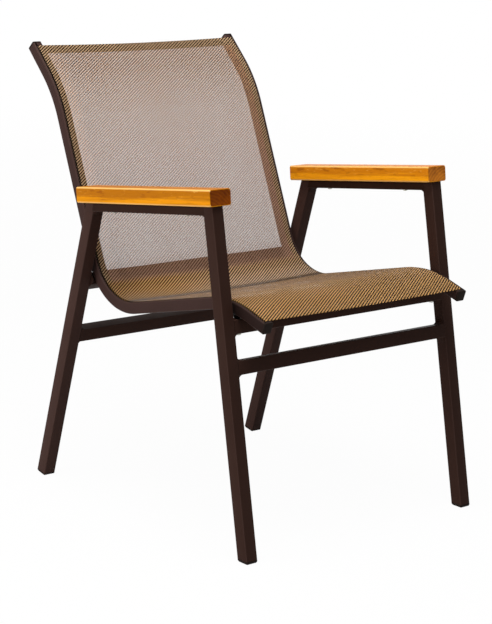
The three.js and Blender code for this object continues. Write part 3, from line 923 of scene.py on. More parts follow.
@dataclass(frozen=True)
class MeshFabric:
    """Open twill of coated yarn: tan warp over dark brown weft.

    Its places are flat cloth coordinates. The reach runs along the cloth from the edge that
    is folded under at the front, and aside is the distance from the middle.
    """

    inner: float
    hem_line: float
    seat_warp: tuple = (0.69, 0.386, 0.139)
    seat_weft: tuple = (0.012, 0.006, 0.003)
    backlit_warp: tuple = (0.70, 0.39, 0.20)
    bluish_sheen_warp: tuple = (0.69, 0.39, 0.245)
    backlit_weft: tuple = (0.085, 0.048, 0.034)
    warp_wide: float = 0.36
    weft_wide: float = 0.57
    narrow: float = 0.12
    seat_warp_wide: float = 0.70
    seat_weft_wide: float = 1.0
    seat_narrow: float = 0.22
    loose: float = 0.05
    fold: float = 0.001
    seat_rear_shade_from: float = 0.13
    seat_rear_shade_full: float = 0.20
    seat_rear_shade_depth: float = 0.20
    crease: float = 0.412
    crease_core: float = 0.003
    crease_edge: float = 0.017
    crease_keeps: float = 0.22
    bend_start: float = 0.432
    sheen_grey_from: float = -0.12
    sheen_grey_full: float = 0.04
    sheen_grey_low: float = 0.32
    sheen_grey_high: float = 0.15
    tube_line: float = 0.478
    tube_core: float = 0.006
    tube_edge: float = 0.014
    tube_keeps: float = 0.88
    seat_end: float = 0.484
    back_start: float = 0.498
    low_back_shade: float = 0.52
    low_back_shade_end: float = 0.66
    low_back_shade_depth: float = 0.18
    cool_end: float = 0.70
    warm_start: float = 0.84
    rail_light: float = 0.030
    rail_light_full: float = 0.014
    rail_light_gain: float = 0.24
    backed_keeps: float = 0.80
    backed_left_light: float = 0.94
    left_light_from: float = 0.20
    left_light_full: float = 0.22
    slot: float = 0.2447
    slot_margin: float = 0.002
    slot_blur: float = 0.0006
    slot_keeps: float = 0.25

    def build(self) -> bpy.types.Material:
        """Draws the weave, with holes between its yarns.

        The yarns are thin, and on the back their colours are painted paler, for the light that
        comes through them. They lie flatter and closer on the seat, on the rails and in the hems,
        and duller on the back's rails and hem, where they are painted lighter towards the
        sitter's left. The back's warp is painted cooler below its top, as a bluish sheen.

        Returns:
            The material.
        """
        finish = Finish("mesh_fabric", Specular_IOR_Level=0.0, Roughness=0.6,
                        Sheen_Weight=0.40, Sheen_Roughness=0.3,
                        Sheen_Tint=(1.0, 0.86, 0.86, 1.0))
        s = finish.sketch
        parts = s.node("SeparateXYZ", {0: finish.cloth})
        across, reach = parts.outputs[0], parts.outputs[1]
        aside = s.math("ABSOLUTE", across)
        upright = s.span(reach, self.seat_end, self.back_start)
        free = s.product(s.span(reach, self.hem_line, self.hem_line + self.fold, 1.0, 0.0),
                         s.span(aside, self.inner, self.inner + self.fold, 1.0, 0.0))
        back = s.product(upright, free)
        backed = s.math("SUBTRACT", upright, back)
        drawn = s.node("Mapping", {"Vector": finish.cloth, "Scale": (9.0, 2.2, 1.0)})
        loose = s.span(s.noise(drawn.outputs[0], 1.0, 2.0), 0.25, 0.75, -self.loose, self.loose)
        weave = finish.effect(Effects.twill(), {
            "Vector": finish.cloth,
            "Warp Wide": s.blend(back, self.seat_warp_wide,
                                 s.math("ADD", loose, self.warp_wide)),
            "Weft Wide": s.blend(back, self.seat_weft_wide, self.weft_wide),
            "Narrow": s.blend(back, self.seat_narrow, self.narrow)})
        patch = finish.effect(Effects.mottle(), {
            "Vector": finish.place, "Patch": 7.0, "Speck": 500.0, "Depth": 0.12})
        # Painted bluish sheen: the back's warp turns cooler below its top
        warp = s.mix(s.span(reach, self.cool_end, self.warm_start), rgba(self.bluish_sheen_warp),
                     rgba(self.backlit_warp))
        # On the back the yarns' colours are painted paler, for the light that comes through them
        yarn = s.mix(weave.outputs["Warp"],
                     s.mix(back, rgba(self.seat_weft), rgba(self.backlit_weft)),
                     s.mix(back, rgba(self.seat_warp), warp))
        # Over the back's rails and hem the colour is darker, and towards the sitter's left painted
        # lighter, as light
        covered = s.blend(backed, 1.0, s.span(across, self.left_light_from, self.left_light_full,
                                              self.backed_keeps, self.backed_left_light))
        shade = s.node("HueSaturation", {
            "Saturation": s.math("SUBTRACT", s.blend(backed, 1.0, self.backed_keeps),
                                 self.greyed_by_sheen(s, across, reach, upright)),
            "Value": s.product(patch.outputs[0],
                               # Painted shade on the yarns' low edges
                               s.span(weave.outputs["Height"], 0.0, 0.7, 0.72, 1.0),
                               self.painted_shade(s, aside, reach),
                               self.light(s, aside, reach, back), covered),
            "Color": yarn})
        finish.feed("Base Color", shade.outputs[0])
        in_slot = s.math("GREATER_THAN", aside, self.slot - self.slot_margin)
        finish.feed("Alpha", s.math("MAXIMUM", weave.outputs["Cover"], in_slot))
        finish.bump(weave.outputs["Height"], 0.6, 0.0004)
        return finish.material

    def painted_shade(self, s: Sketch, aside: Socket, reach: Socket) -> bpy.types.NodeSocket:
        """Painted shade: what is left of the colour in the crease, before the lumbar tube and in
        the slots.

        Args:
            s: the sketch to draw in.
            aside: distance from the middle.
            reach: distance along the cloth.

        Returns:
            A factor, 1 where no shade is painted.
        """
        from_crease = s.math("ABSOLUTE", s.math("SUBTRACT", reach, self.crease))
        from_tube = s.math("ABSOLUTE", s.math("SUBTRACT", reach, self.tube_line))
        # Painted shade: the crease line, the band over the lumbar tube, and the cloth in the slots
        return s.product(
            s.span(from_crease, self.crease_core, self.crease_edge, self.crease_keeps, 1.0),
            s.span(from_tube, self.tube_core, self.tube_edge, self.tube_keeps, 1.0),
            s.span(aside, self.slot, self.slot + self.slot_blur, 1.0, self.slot_keeps))

    def light(self, s: Sketch, aside: Socket, reach: Socket,
              back: Socket) -> bpy.types.NodeSocket:
        """Painted shade and light: darker at the seat's rear and low on the back, paler by the
        rails.

        Args:
            s: the sketch to draw in.
            aside: distance from the middle.
            reach: distance along the cloth.
            back: 1 on the free part of the back.

        Returns:
            A factor on the colour.
        """
        # Painted shade, darker low on the back
        low_back_shade = s.product(back, s.span(reach, self.low_back_shade, self.low_back_shade_end, self.low_back_shade_depth, 0.0))
        # Painted light, on the back beside the rails
        rail_light = s.product(back, s.span(aside, self.inner - self.rail_light,
                                       self.inner - self.rail_light_full, 0.0, self.rail_light_gain))
        # Painted shade over the seat's rear, up to the crease
        seat = s.math("SUBTRACT", 1.0, s.span(reach, self.crease, self.bend_start))
        seat_rear_shade = s.product(seat, s.span(reach, self.seat_rear_shade_from, self.seat_rear_shade_full, 0.0,
                                      self.seat_rear_shade_depth))
        back_tone = s.math("ADD", s.math("SUBTRACT", 1.0, low_back_shade), rail_light)
        return s.math("SUBTRACT", back_tone, seat_rear_shade)

    def greyed_by_sheen(self, s: Sketch, across: Socket, reach: Socket,
              upright: Socket) -> bpy.types.NodeSocket:
        """How much colour painted sheen takes from the bend, more to the sitter's left and the
        seat.

        Args:
            s: the sketch to draw in.
            across: distance from the middle towards the sitter's left.
            reach: distance along the cloth.
            upright: 1 on the back.

        Returns:
            The share of the saturation that is gone.
        """
        # Painted sheen: the bend is greyed, more towards the sitter's left
        bend = s.product(s.span(reach, self.crease, self.bend_start),
                         s.math("SUBTRACT", 1.0, upright))
        return s.product(bend, s.span(across, self.sheen_grey_from, self.sheen_grey_full),
                         s.span(reach, self.bend_start, self.seat_end, self.sheen_grey_low,
                                self.sheen_grey_high))


@dataclass(frozen=True)
class VarnishedWood:
    """Amber varnish over straight grain that runs along the arm, with darker end grain."""

    name: str
    slope: float
    underside: float
    heart: tuple
    light: tuple
    deep: tuple
    end: tuple
    end_gain: tuple = (2.3, 2.6, 2.2)
    thickness: float = 0.030
    fleck: tuple = (0.90, 0.52, 0.10)
    pore: tuple = (0.26, 0.055, 0.002)
    streak: tuple = (0.28, 0.070, 0.002)
    worn: tuple = (1.0, 0.65, 0.23)
    fleck_share: float = 0.35
    streak_share: float = 0.72
    pore_share: float = 0.45
    wear_and_highlight_share: float = 0.62
    upper_dark: float = 0.22

    def build(self) -> bpy.types.Material:
        """Draws the grain: long bands, pale flecks, short dark pores, and rings on the ends.

        The arm's own height is the point's place turned by the arm's slope. The lower part
        of a board is lighter than the upper part, where the darker heartwood streaks are.
        The rings on the ends run round the heart, which lies outside the board.

        Returns:
            The material.
        """
        finish = Finish(self.name, Coat_Weight=0.04, Coat_Roughness=0.2,
                        Specular_IOR_Level=0.03)
        s = finish.sketch
        level = s.node("Mapping", {"Vector": finish.place, "Rotation": (self.slope, 0.0, 0.0)})
        height = s.node("SeparateXYZ", {0: level.outputs[0]}).outputs[2]
        upper = s.span(height, self.underside + self.thickness * 0.18,
                       self.underside + self.thickness * 0.78)
        stretch = s.node("Mapping", {"Vector": level.outputs[0], "Scale": (1.0, 0.035, 1.0)})
        grain = stretch.outputs[0]
        bands = s.noise(grain, 210.0, 4.0, 0.6)
        wander = s.noise(grain, 70.0, 2.0)
        tone = s.math("ADD", s.math("MULTIPLY", bands, 0.55), s.math("MULTIPLY", wander, 0.45))
        tone = s.math("SUBTRACT", tone, s.math("MULTIPLY", upper, self.upper_dark))
        face = s.mix(s.span(tone, 0.34, 0.56), rgba(self.deep), rgba(self.light))
        flecks = s.node("Mapping", {"Vector": level.outputs[0], "Scale": (1.0, 0.22, 1.0)})
        pale = s.span(s.noise(flecks.outputs[0], 260.0, 3.0, 0.65), 0.60, 0.72)
        face = s.mix(s.product(pale, upper, self.fleck_share), face, rgba(self.fleck))
        dark = s.span(s.noise(flecks.outputs[0], 150.0, 3.0, 0.6), 0.56, 0.66)
        face = s.mix(s.product(dark, upper, self.streak_share), face, rgba(self.streak))
        pores = s.span(s.noise(grain, 900.0, 2.0), 0.60, 0.72)
        face = s.mix(s.math("MULTIPLY", pores, self.pore_share), face, rgba(self.pore))
        # The rims are paler: thinned varnish, and a painted highlight on the eased edges
        face = finish.rim_wear_and_highlight(face, self.worn, self.wear_and_highlight_share)
        heart = s.node("Mapping", {"Vector": finish.place,
                                   "Location": (-self.heart[0], 0.0, -self.heart[1])})
        rings = s.node("TexWave", {"Vector": heart.outputs[0], "Scale": 52.0, "Distortion": 2.5,
                                   "Detail": 2.0, "Detail Scale": 1.5},
                       wave_type="RINGS", rings_direction="Y")
        blotch = s.noise(finish.place, 75.0, 3.0, 0.6)
        cut = s.math("ADD", s.math("MULTIPLY", rings.outputs["Fac"], 0.22),
                     s.math("MULTIPLY", blotch, 0.8))
        cut = s.math("SUBTRACT", cut, s.math("MULTIPLY", upper, self.upper_dark))
        pale_end = [part * gain for part, gain in zip(self.end, self.end_gain)]
        butt = s.mix(s.span(cut, 0.10, 0.75), rgba(self.end), rgba(pale_end))
        share = s.node("Attribute", attribute_name="share")
        finish.feed("Base Color", s.mix(share.outputs["Fac"], face, butt))
        finish.feed("Roughness", s.span(bands, 0.3, 0.7, 0.28, 0.42))
        finish.bump(s.math("SUBTRACT", bands, s.math("MULTIPLY", pores, 0.6)), 0.12, 0.0003)
        return finish.material


@dataclass(frozen=True)
class StitchThread:
    """Twisted brown thread."""

    colour: tuple = (0.21, 0.13, 0.07)
    ply_gain: float = 1.7

    def build(self) -> bpy.types.Material:
        """Draws the thread: fine twisted plies in the colour and bump.

        Returns:
            The material.
        """
        finish = Finish("stitch_thread", Roughness=0.7, Specular_IOR_Level=0.3)
        s = finish.sketch
        plies = s.node("TexWave", {"Vector": finish.place, "Scale": 900.0, "Distortion": 1.0},
                       bands_direction="DIAGONAL")
        pale = rgba([part * self.ply_gain for part in self.colour])
        finish.feed("Base Color", s.mix(plies.outputs["Fac"], rgba(self.colour), pale))
        finish.bump(plies.outputs["Fac"], 0.4, 0.0001)
        return finish.material


@dataclass
class Finishes:
    """The chair's finishes, each built once."""

    plan: ChairPlan

    def __post_init__(self) -> None:
        """Builds every material."""
        plan = self.plan
        turned = plan.arm_point[0] * math.sin(plan.arm_slope)
        underside = turned + plan.arm_point[1] * math.cos(plan.arm_slope)
        self.coat = PowderCoat().build()
        # Painted shade: a darker copy of the coat for the arm bars, which lie in the boards' shadow
        self.shaded_bar_coat = PowderCoat("powder_coat_bar_shaded", (0.0265, 0.0115, 0.0075)).build()
        # Painted light: a lighter copy of the coat for the rear legs
        self.lit_rear_coat = PowderCoat("powder_coat_rear_lit", (0.048, 0.0245, 0.0200)).build()
        # The rails' coat is painted darker at their front ends, as shade, and paler on their inner
        # faces, as light
        self.rail_coat = PowderCoat("powder_coat_rail", (0.044, 0.0235, 0.0205), front_shade=0.42,
                                    inner_light=2.4, inner_light_from=plan.rail_inner_x).build()
        self.plastic = MouldedPlastic("black_plastic", (0.018, 0.012, 0.010)).build()
        self.spline = MouldedPlastic("spline_plastic", (0.55, 0.53, 0.47), 0.45).build()
        self.zinc = ZincPlate().build()
        hem_line = plan.line.length - plan.sling_front_inset - plan.sling_top_inset
        self.fabric = MeshFabric(plan.rail_inner_x, hem_line).build()
        # The boards are lit and shaded copies of one wood: the left one painted lighter, the right
        # one painted darker, most on its end grain
        self.wood = {
            Side.LEFT: VarnishedWood(
                "varnished_wood_left_lit", plan.arm_slope, underside, (0.300, 0.590),
                light=(0.88, 0.345, 0.006), deep=(0.56, 0.180, 0.004),
                end=(0.32, 0.094, 0.0105)).build(),
            Side.RIGHT: VarnishedWood(
                "varnished_wood_right_shaded", plan.arm_slope, underside, (-0.300, 0.590),
                light=(0.77, 0.285, 0.002), deep=(0.43, 0.140, 0.002),
                end=(0.125, 0.0245, 0.0008)).build(),
        }
        self.thread = StitchThread().build()


# Sub-assemblies


@dataclass
class TubeFrame:
    """The welded frame: four legs, two arm bars, four cross tubes and their weld beads."""

    plan: ChairPlan
    finishes: Finishes
    bar_height: float = 0.016
    weld_size: float = 0.0105
    weld_ripple: float = 0.0022
    weld_swell: float = 0.07
    weld_root: float = 0.0004
    joint_proud: float = 0.00006
    joint_reach: float = 0.0012
    joint_short: float = 0.0016
    joint_drop: float = 0.0004
    joint_corner: float = 0.0006

    def prism(self, outline: np.ndarray, low: tuple[float, float], high: tuple[float, float],
              rows: int = 2) -> np.ndarray:
        """Rings of an outline carried along local Z between two slanted ends.

        A ring's height at a point is its own height plus its slope times the point's
        second coordinate, and the rings between go evenly from one end to the other.

        Args:
            outline: points of the section.
            low: height and slope of the lower end.
            high: height and slope of the upper end.
            rows: number of rings.

        Returns:
            Rings of points.
        """
        share = np.linspace(0.0, 1.0, rows)[:, None]
        lower = low[0] + low[1] * outline[None, :, 1]
        upper = high[0] + high[1] * outline[None, :, 1]
        heights = lower * (1 - share) + upper * share
        flat = np.broadcast_to(outline, (rows,) + outline.shape)
        return np.concatenate([flat, heights[..., None]], axis=2)

    def build(self) -> None:
        """Makes the legs, bars, cross tubes and welds."""
        for side in Side:
            self.legs(side)
            self.arm_bar(side)
        self.cross_tubes()
        self.welds()

    def legs(self, side: Side) -> None:
        """Makes the front and the rear leg of a side.

        Args:
            side: which side.
        """
        plan = self.plan
        square = rounded_outline(plan.tube, plan.tube, plan.tube_corner)
        front = Shell()
        length = np.linalg.norm(plan.arm_point - plan.front_foot)
        front.add_loft(placed(self.prism(
            square, ((plan.foot_height + plan.gap) / math.cos(plan.front_lean),
                     math.tan(plan.front_lean)),
            (length - plan.gap, math.tan(plan.front_arm_angle)),
        ), plan.front_foot, side.value * plan.leg_x, -plan.front_lean), rim=outline_rim())
        front.finish(f"front_leg_tube_{side.word}", self.finishes.coat, Slot.COAT,
                     [f"front_leg_{side.word}"])
        rear = Shell()
        length = np.linalg.norm(plan.rear_arm_point - plan.rear_foot)
        rear.add_loft(placed(self.prism(
            square, (plan.rear_sole + plan.foot_height + plan.gap, 0.0),
            (length - plan.gap, -math.tan(plan.rear_arm_angle)),
        ), plan.rear_foot, side.value * plan.leg_x, plan.rear_lean), rim=outline_rim())
        # Its coat is the lighter copy: painted light
        rear.finish(f"rear_leg_tube_{side.word}", self.finishes.lit_rear_coat, Slot.COAT,
                    [f"rear_leg_{side.word}"])

    @property
    def bar_ends(self) -> tuple[float, float, float, float]:
        """Where an arm bar ends.

        Returns:
            Its start and end along the arm, and the tangents of its two end cuts.
        """
        plan = self.plan
        return (plan.front_leg_reach, plan.arm_span - plan.rear_leg_reach,
                -math.tan(plan.front_arm_angle), math.tan(plan.rear_arm_angle))

    def arm_bar(self, side: Side) -> None:
        """Makes the flat tube under an armrest, with its flush welds.

        Args:
            side: which arm.
        """
        plan = self.plan
        start, end, first_cut, last_cut = self.bar_ends
        outline = rounded_outline(plan.tube, self.bar_height, plan.tube_corner)
        outline = outline + np.array([0.0, plan.gap + self.bar_height / 2])
        bar = Shell()
        bar.add_loft(placed(self.prism(
            outline, (start + plan.gap, first_cut), (end - plan.gap, last_cut),
        ), plan.arm_point, side.value * plan.leg_x, plan.arm_turn), rim=outline_rim())
        for spot, cut in ((start, first_cut), (end, last_cut)):
            bar.add_loft(self.ground_joint(side, spot, cut))
        # Its coat is the darker copy: painted shade
        bar.finish(f"arm_bar_tube_{side.word}", self.finishes.shaded_bar_coat, Slot.COAT,
                   [f"arm_bar_{side.word}"])

    def ground_joint(self, side: Side, spot: float, cut: float) -> np.ndarray:
        """The weld that is ground flush over the joint of an arm bar and a leg.

        Args:
            side: which arm.
            spot: where the joint crosses the arm's line.
            cut: the tangent of the joint's slant.

        Returns:
            Rings of points.
        """
        plan = self.plan
        reach = plan.tube_corner + self.joint_reach
        outline = rounded_outline(plan.tube + 2 * self.joint_proud,
                                  self.bar_height - self.joint_short, self.joint_corner, 2)
        outline = outline + np.array([0.0, plan.gap + self.bar_height / 2 - self.joint_drop])
        return placed(self.prism(outline, (spot - reach, cut), (spot + reach, cut)),
                      plan.arm_point, side.value * plan.leg_x, plan.arm_turn)

    @property
    def crossings(self) -> list[tuple[str, str, np.ndarray, float]]:
        """Each cross tube: its piece, its node, its place and its turn."""
        plan = self.plan
        return [
            ("front_seat_crossbar", "front_seat_tube", plan.seat_tube, -plan.front_lean),
            ("front_foot_crossbar", "front_stretcher", plan.front_stretcher, -plan.front_lean),
            ("lumbar_crossbar", "lumbar_tube", plan.lumbar, plan.lumbar_turn),
            ("rear_foot_crossbar", "rear_stretcher", plan.rear_stretcher, plan.rear_lean),
        ]

    def cross_tubes(self) -> None:
        """Makes the four cross tubes, each between the inner faces of two legs."""
        plan = self.plan
        square = rounded_outline(plan.tube, plan.tube, plan.tube_corner)
        reach = plan.leg_x - plan.tube / 2
        for name, node, place, turn in self.crossings:
            ends = np.array([-reach, reach])
            rings = np.stack([
                np.broadcast_to(ends[:, None], (2, len(square))),
                np.broadcast_to(square[:, 0], (2, len(square))),
                np.broadcast_to(square[:, 1], (2, len(square))),
            ], axis=2)
            tube = Shell()
            tube.add_loft(placed(rings, place, 0.0, turn), rim=outline_rim())
            tube.finish(name, self.finishes.coat, Slot.COAT, [node])

    def fillet(self, shell: Shell, corner: np.ndarray, first: np.ndarray, second: np.ndarray,
               run: np.ndarray) -> None:
        """Adds a hollow weld bead in an inside corner.

        Its face is the curve (1 - t)^2 p + t^2 q + 2 t (1 - t) c, for t from 0 to 1. It
        goes from p on one wall to q on the other, both measured from the corner, and c is a
        fifth of p + q. It swells and sinks along the run with a sine, as weld ripples do,
        and it tapers by the root of 1.03 - s^6, where s goes from -1 to 1 along the run.

        Args:
            shell: the mesh to add to.
            corner: the middle of the corner's edge.
            first: the direction along one wall.
            second: the direction along the other.
            run: the vector from the middle to one end of the bead.
        """
        length = 2 * np.linalg.norm(run)
        rows = max(9, int(length / self.weld_ripple * 6))
        share = np.linspace(-1.0, 1.0, rows)
        swell = 1 + self.weld_swell * np.sin(share * math.pi * length / self.weld_ripple)
        ease = np.sqrt(np.clip(1.03 - share ** 6, 0.03, 1.0))
        size = (self.weld_size * swell * ease)[:, None, None]
        t = np.linspace(0.0, 1.0, 9)[None, :, None]
        pull = (first + second) / 5
        curve = (1 - t) ** 2 * first + t ** 2 * second + 2 * t * (1 - t) * pull
        root = np.broadcast_to(-self.weld_root * (first + second), (rows, 1, 3))
        section = np.concatenate([curve * size, root], axis=1)
        shell.add_loft(corner + run * share[:, None, None] + section)

    def welds(self) -> None:
        """Makes the beads round each cross tube's ends and under the arm bars."""
        plan = self.plan
        half = plan.tube / 2
        beads = Shell()
        for _, node, place, turn in self.crossings:
            up = np.array([0.0, -math.sin(turn), math.cos(turn)])
            flat = np.array([0.0, math.cos(turn), math.sin(turn)])
            lean = -plan.front_lean if node.startswith("front") else plan.rear_lean
            leg = np.array([0.0, -math.sin(lean), math.cos(lean)])
            for side in Side:
                inward = np.array([-side.value, 0.0, 0.0])
                end = np.array([side.value * (plan.leg_x - half), place[0], place[1]])
                for way in (1, -1):
                    wall = leg if node != "lumbar_tube" else up
                    self.fillet(beads, end + way * half * up, inward, way * wall,
                                flat * (half - plan.tube_corner))
        start, end, first_cut, last_cut = self.bar_ends
        depth = plan.gap + self.bar_height
        for side in Side:
            x = side.value * plan.leg_x
            for spot, cut, lean, way in ((start, first_cut, -plan.front_lean, 1),
                                         (end, last_cut, plan.rear_lean, -1)):
                corner = placed(np.array([0.0, depth, spot + cut * depth]), plan.arm_point, x,
                                plan.arm_turn)
                rearward = np.array([0.0, math.cos(plan.arm_slope), -math.sin(plan.arm_slope)])
                down = -np.array([0.0, -math.sin(lean), math.cos(lean)])
                self.fillet(beads, corner, way * rearward, down,
                            np.array([half - plan.tube_corner, 0.0, 0.0]))
        beads.finish("frame_welds", self.finishes.coat, Slot.COAT, sharp=60.0)


@dataclass
class SlingRails:
    """The two bent rails with their end caps."""

    plan: ChairPlan
    finishes: Finishes
    corner: float = 0.003
    lip: float = 0.0035
    slot: float = 0.0035
    wall: float = 0.0018
    channel_radius: float = 0.004
    channel_depth: float = 0.0065
    cap_thickness: float = 0.004
    cap_round: float = 0.0016
    cap_corner_least: float = 0.0008
    slot_ease: float = 0.0005
    corner_steps: int = 5
    channel_steps: int = 25
    run_steps: tuple = (3, 20, 6, 36, 8, 18, 3)

    @property
    def before_slot(self) -> int:
        """How many points of the rounded outline come before the slot: three corners."""
        return 3 * (self.corner_steps + 1)

    def section(self, side: Side) -> np.ndarray:
        """The rail's section: a rounded rectangle with a round channel behind a slot.

        The channel's points are its centre plus its radius times the sine and cosine of an
        angle that runs round from one lip of the slot to the other.

        Args:
            side: which rail.

        Returns:
            Points (x, depth) in the chair's frame.
        """
        plan = self.plan
        shape = rounded_outline(plan.rail_width, plan.rail_depth, self.corner,
                                self.corner_steps)
        shape = shape + np.array([plan.rail_width, plan.rail_depth]) / 2
        middle = self.wall + self.channel_radius
        ends = np.arcsin((np.array([self.lip, self.lip + self.slot]) - middle)
                         / self.channel_radius)
        angle = np.linspace(ends[0], ends[1] - 2 * math.pi, self.channel_steps)
        channel = np.stack([middle + self.channel_radius * np.sin(angle),
                            self.channel_depth - self.channel_radius * np.cos(angle)], axis=1)
        ease, far = self.slot_ease, self.lip + self.slot
        mouth = np.array([[self.lip - ease, 0.0], [self.lip, ease]])
        rim = np.array([[far, ease], [far + ease, 0.0]])
        outline = np.concatenate([shape[:self.before_slot], mouth, channel, rim,
                                  shape[self.before_slot:]])
        x = side.value * (plan.rail_outer_x - outline[:, 0])
        return np.stack([x, outline[:, 1]], axis=1)

    def build(self) -> None:
        """Makes both rails and their four caps."""
        line = self.plan.line
        knots = np.cumsum([0.0] + [run[0] for run in line.runs])
        pieces = [np.linspace(a, b, n, endpoint=False) for a, b, n in zip(
            knots[:-1], knots[1:], self.run_steps)]
        distance = np.append(np.concatenate(pieces), line.length)
        for side in Side:
            rail = Shell()
            section = self.section(side)
            corners = outline_rim(self.corner_steps)
            after = len(corners) - self.before_slot
            rim = np.zeros(len(section))
            rim[:self.before_slot] = corners[:self.before_slot]
            rim[-after:] = corners[self.before_slot:]
            rail.add_loft(self.plan.carried(section, distance), rim=rim)
            rail.finish(f"bent_rail_{side.word}", self.finishes.rail_coat, Slot.COAT,
                        [f"sling_rail_{side.word}"])
            self.cap(side, "front", 0.0, line.front_drop + math.pi / 2, -1)
            self.cap(side, "top", line.length, line.top_slope - math.pi / 2, 1)

    def cap(self, side: Side, word: str, distance: float, turn: float, way: int) -> None:
        """Makes one end cap: a plate whose outer edge is rounded.

        The plate's outline draws in by r (1 - cos a) as its height rises by r sin a, for a
        from 0 to a quarter turn, which rounds the edge.

        Args:
            side: which rail.
            word: which end.
            distance: the end's distance along the seating line.
            turn: the turn that points local Z out of the rail.
            way: the direction of the rail's depth along local Y.
        """
        plan = self.plan
        angle = np.linspace(0.0, math.pi / 2, 6)
        inset = np.concatenate([[0.0], self.cap_round * (1 - np.cos(angle))])
        height = np.concatenate([[plan.gap], self.cap_thickness - self.cap_round
                                 + self.cap_round * np.sin(angle)])
        rings = []
        for draw, level in zip(inset, height):
            outline = rounded_outline(plan.rail_width - 2 * draw, plan.rail_depth - 2 * draw,
                                      max(self.corner - draw, self.cap_corner_least), 4)
            outline = outline + np.array([0.0, way * plan.rail_depth / 2])
            rings.append(ring_at(outline, level))
        place, _ = plan.stations(np.array([distance]))
        x = side.value * (plan.rail_outer_x - plan.rail_width / 2)
        cap = Shell()
        cap.add_loft(placed(np.array(rings), place[0], x, turn))
        cap.finish(f"rail_{word}_end_{side.word}", self.finishes.plastic, Slot.PLASTIC,
                   [f"rail_{word}_cap_{side.word}"], sharp=50.0)


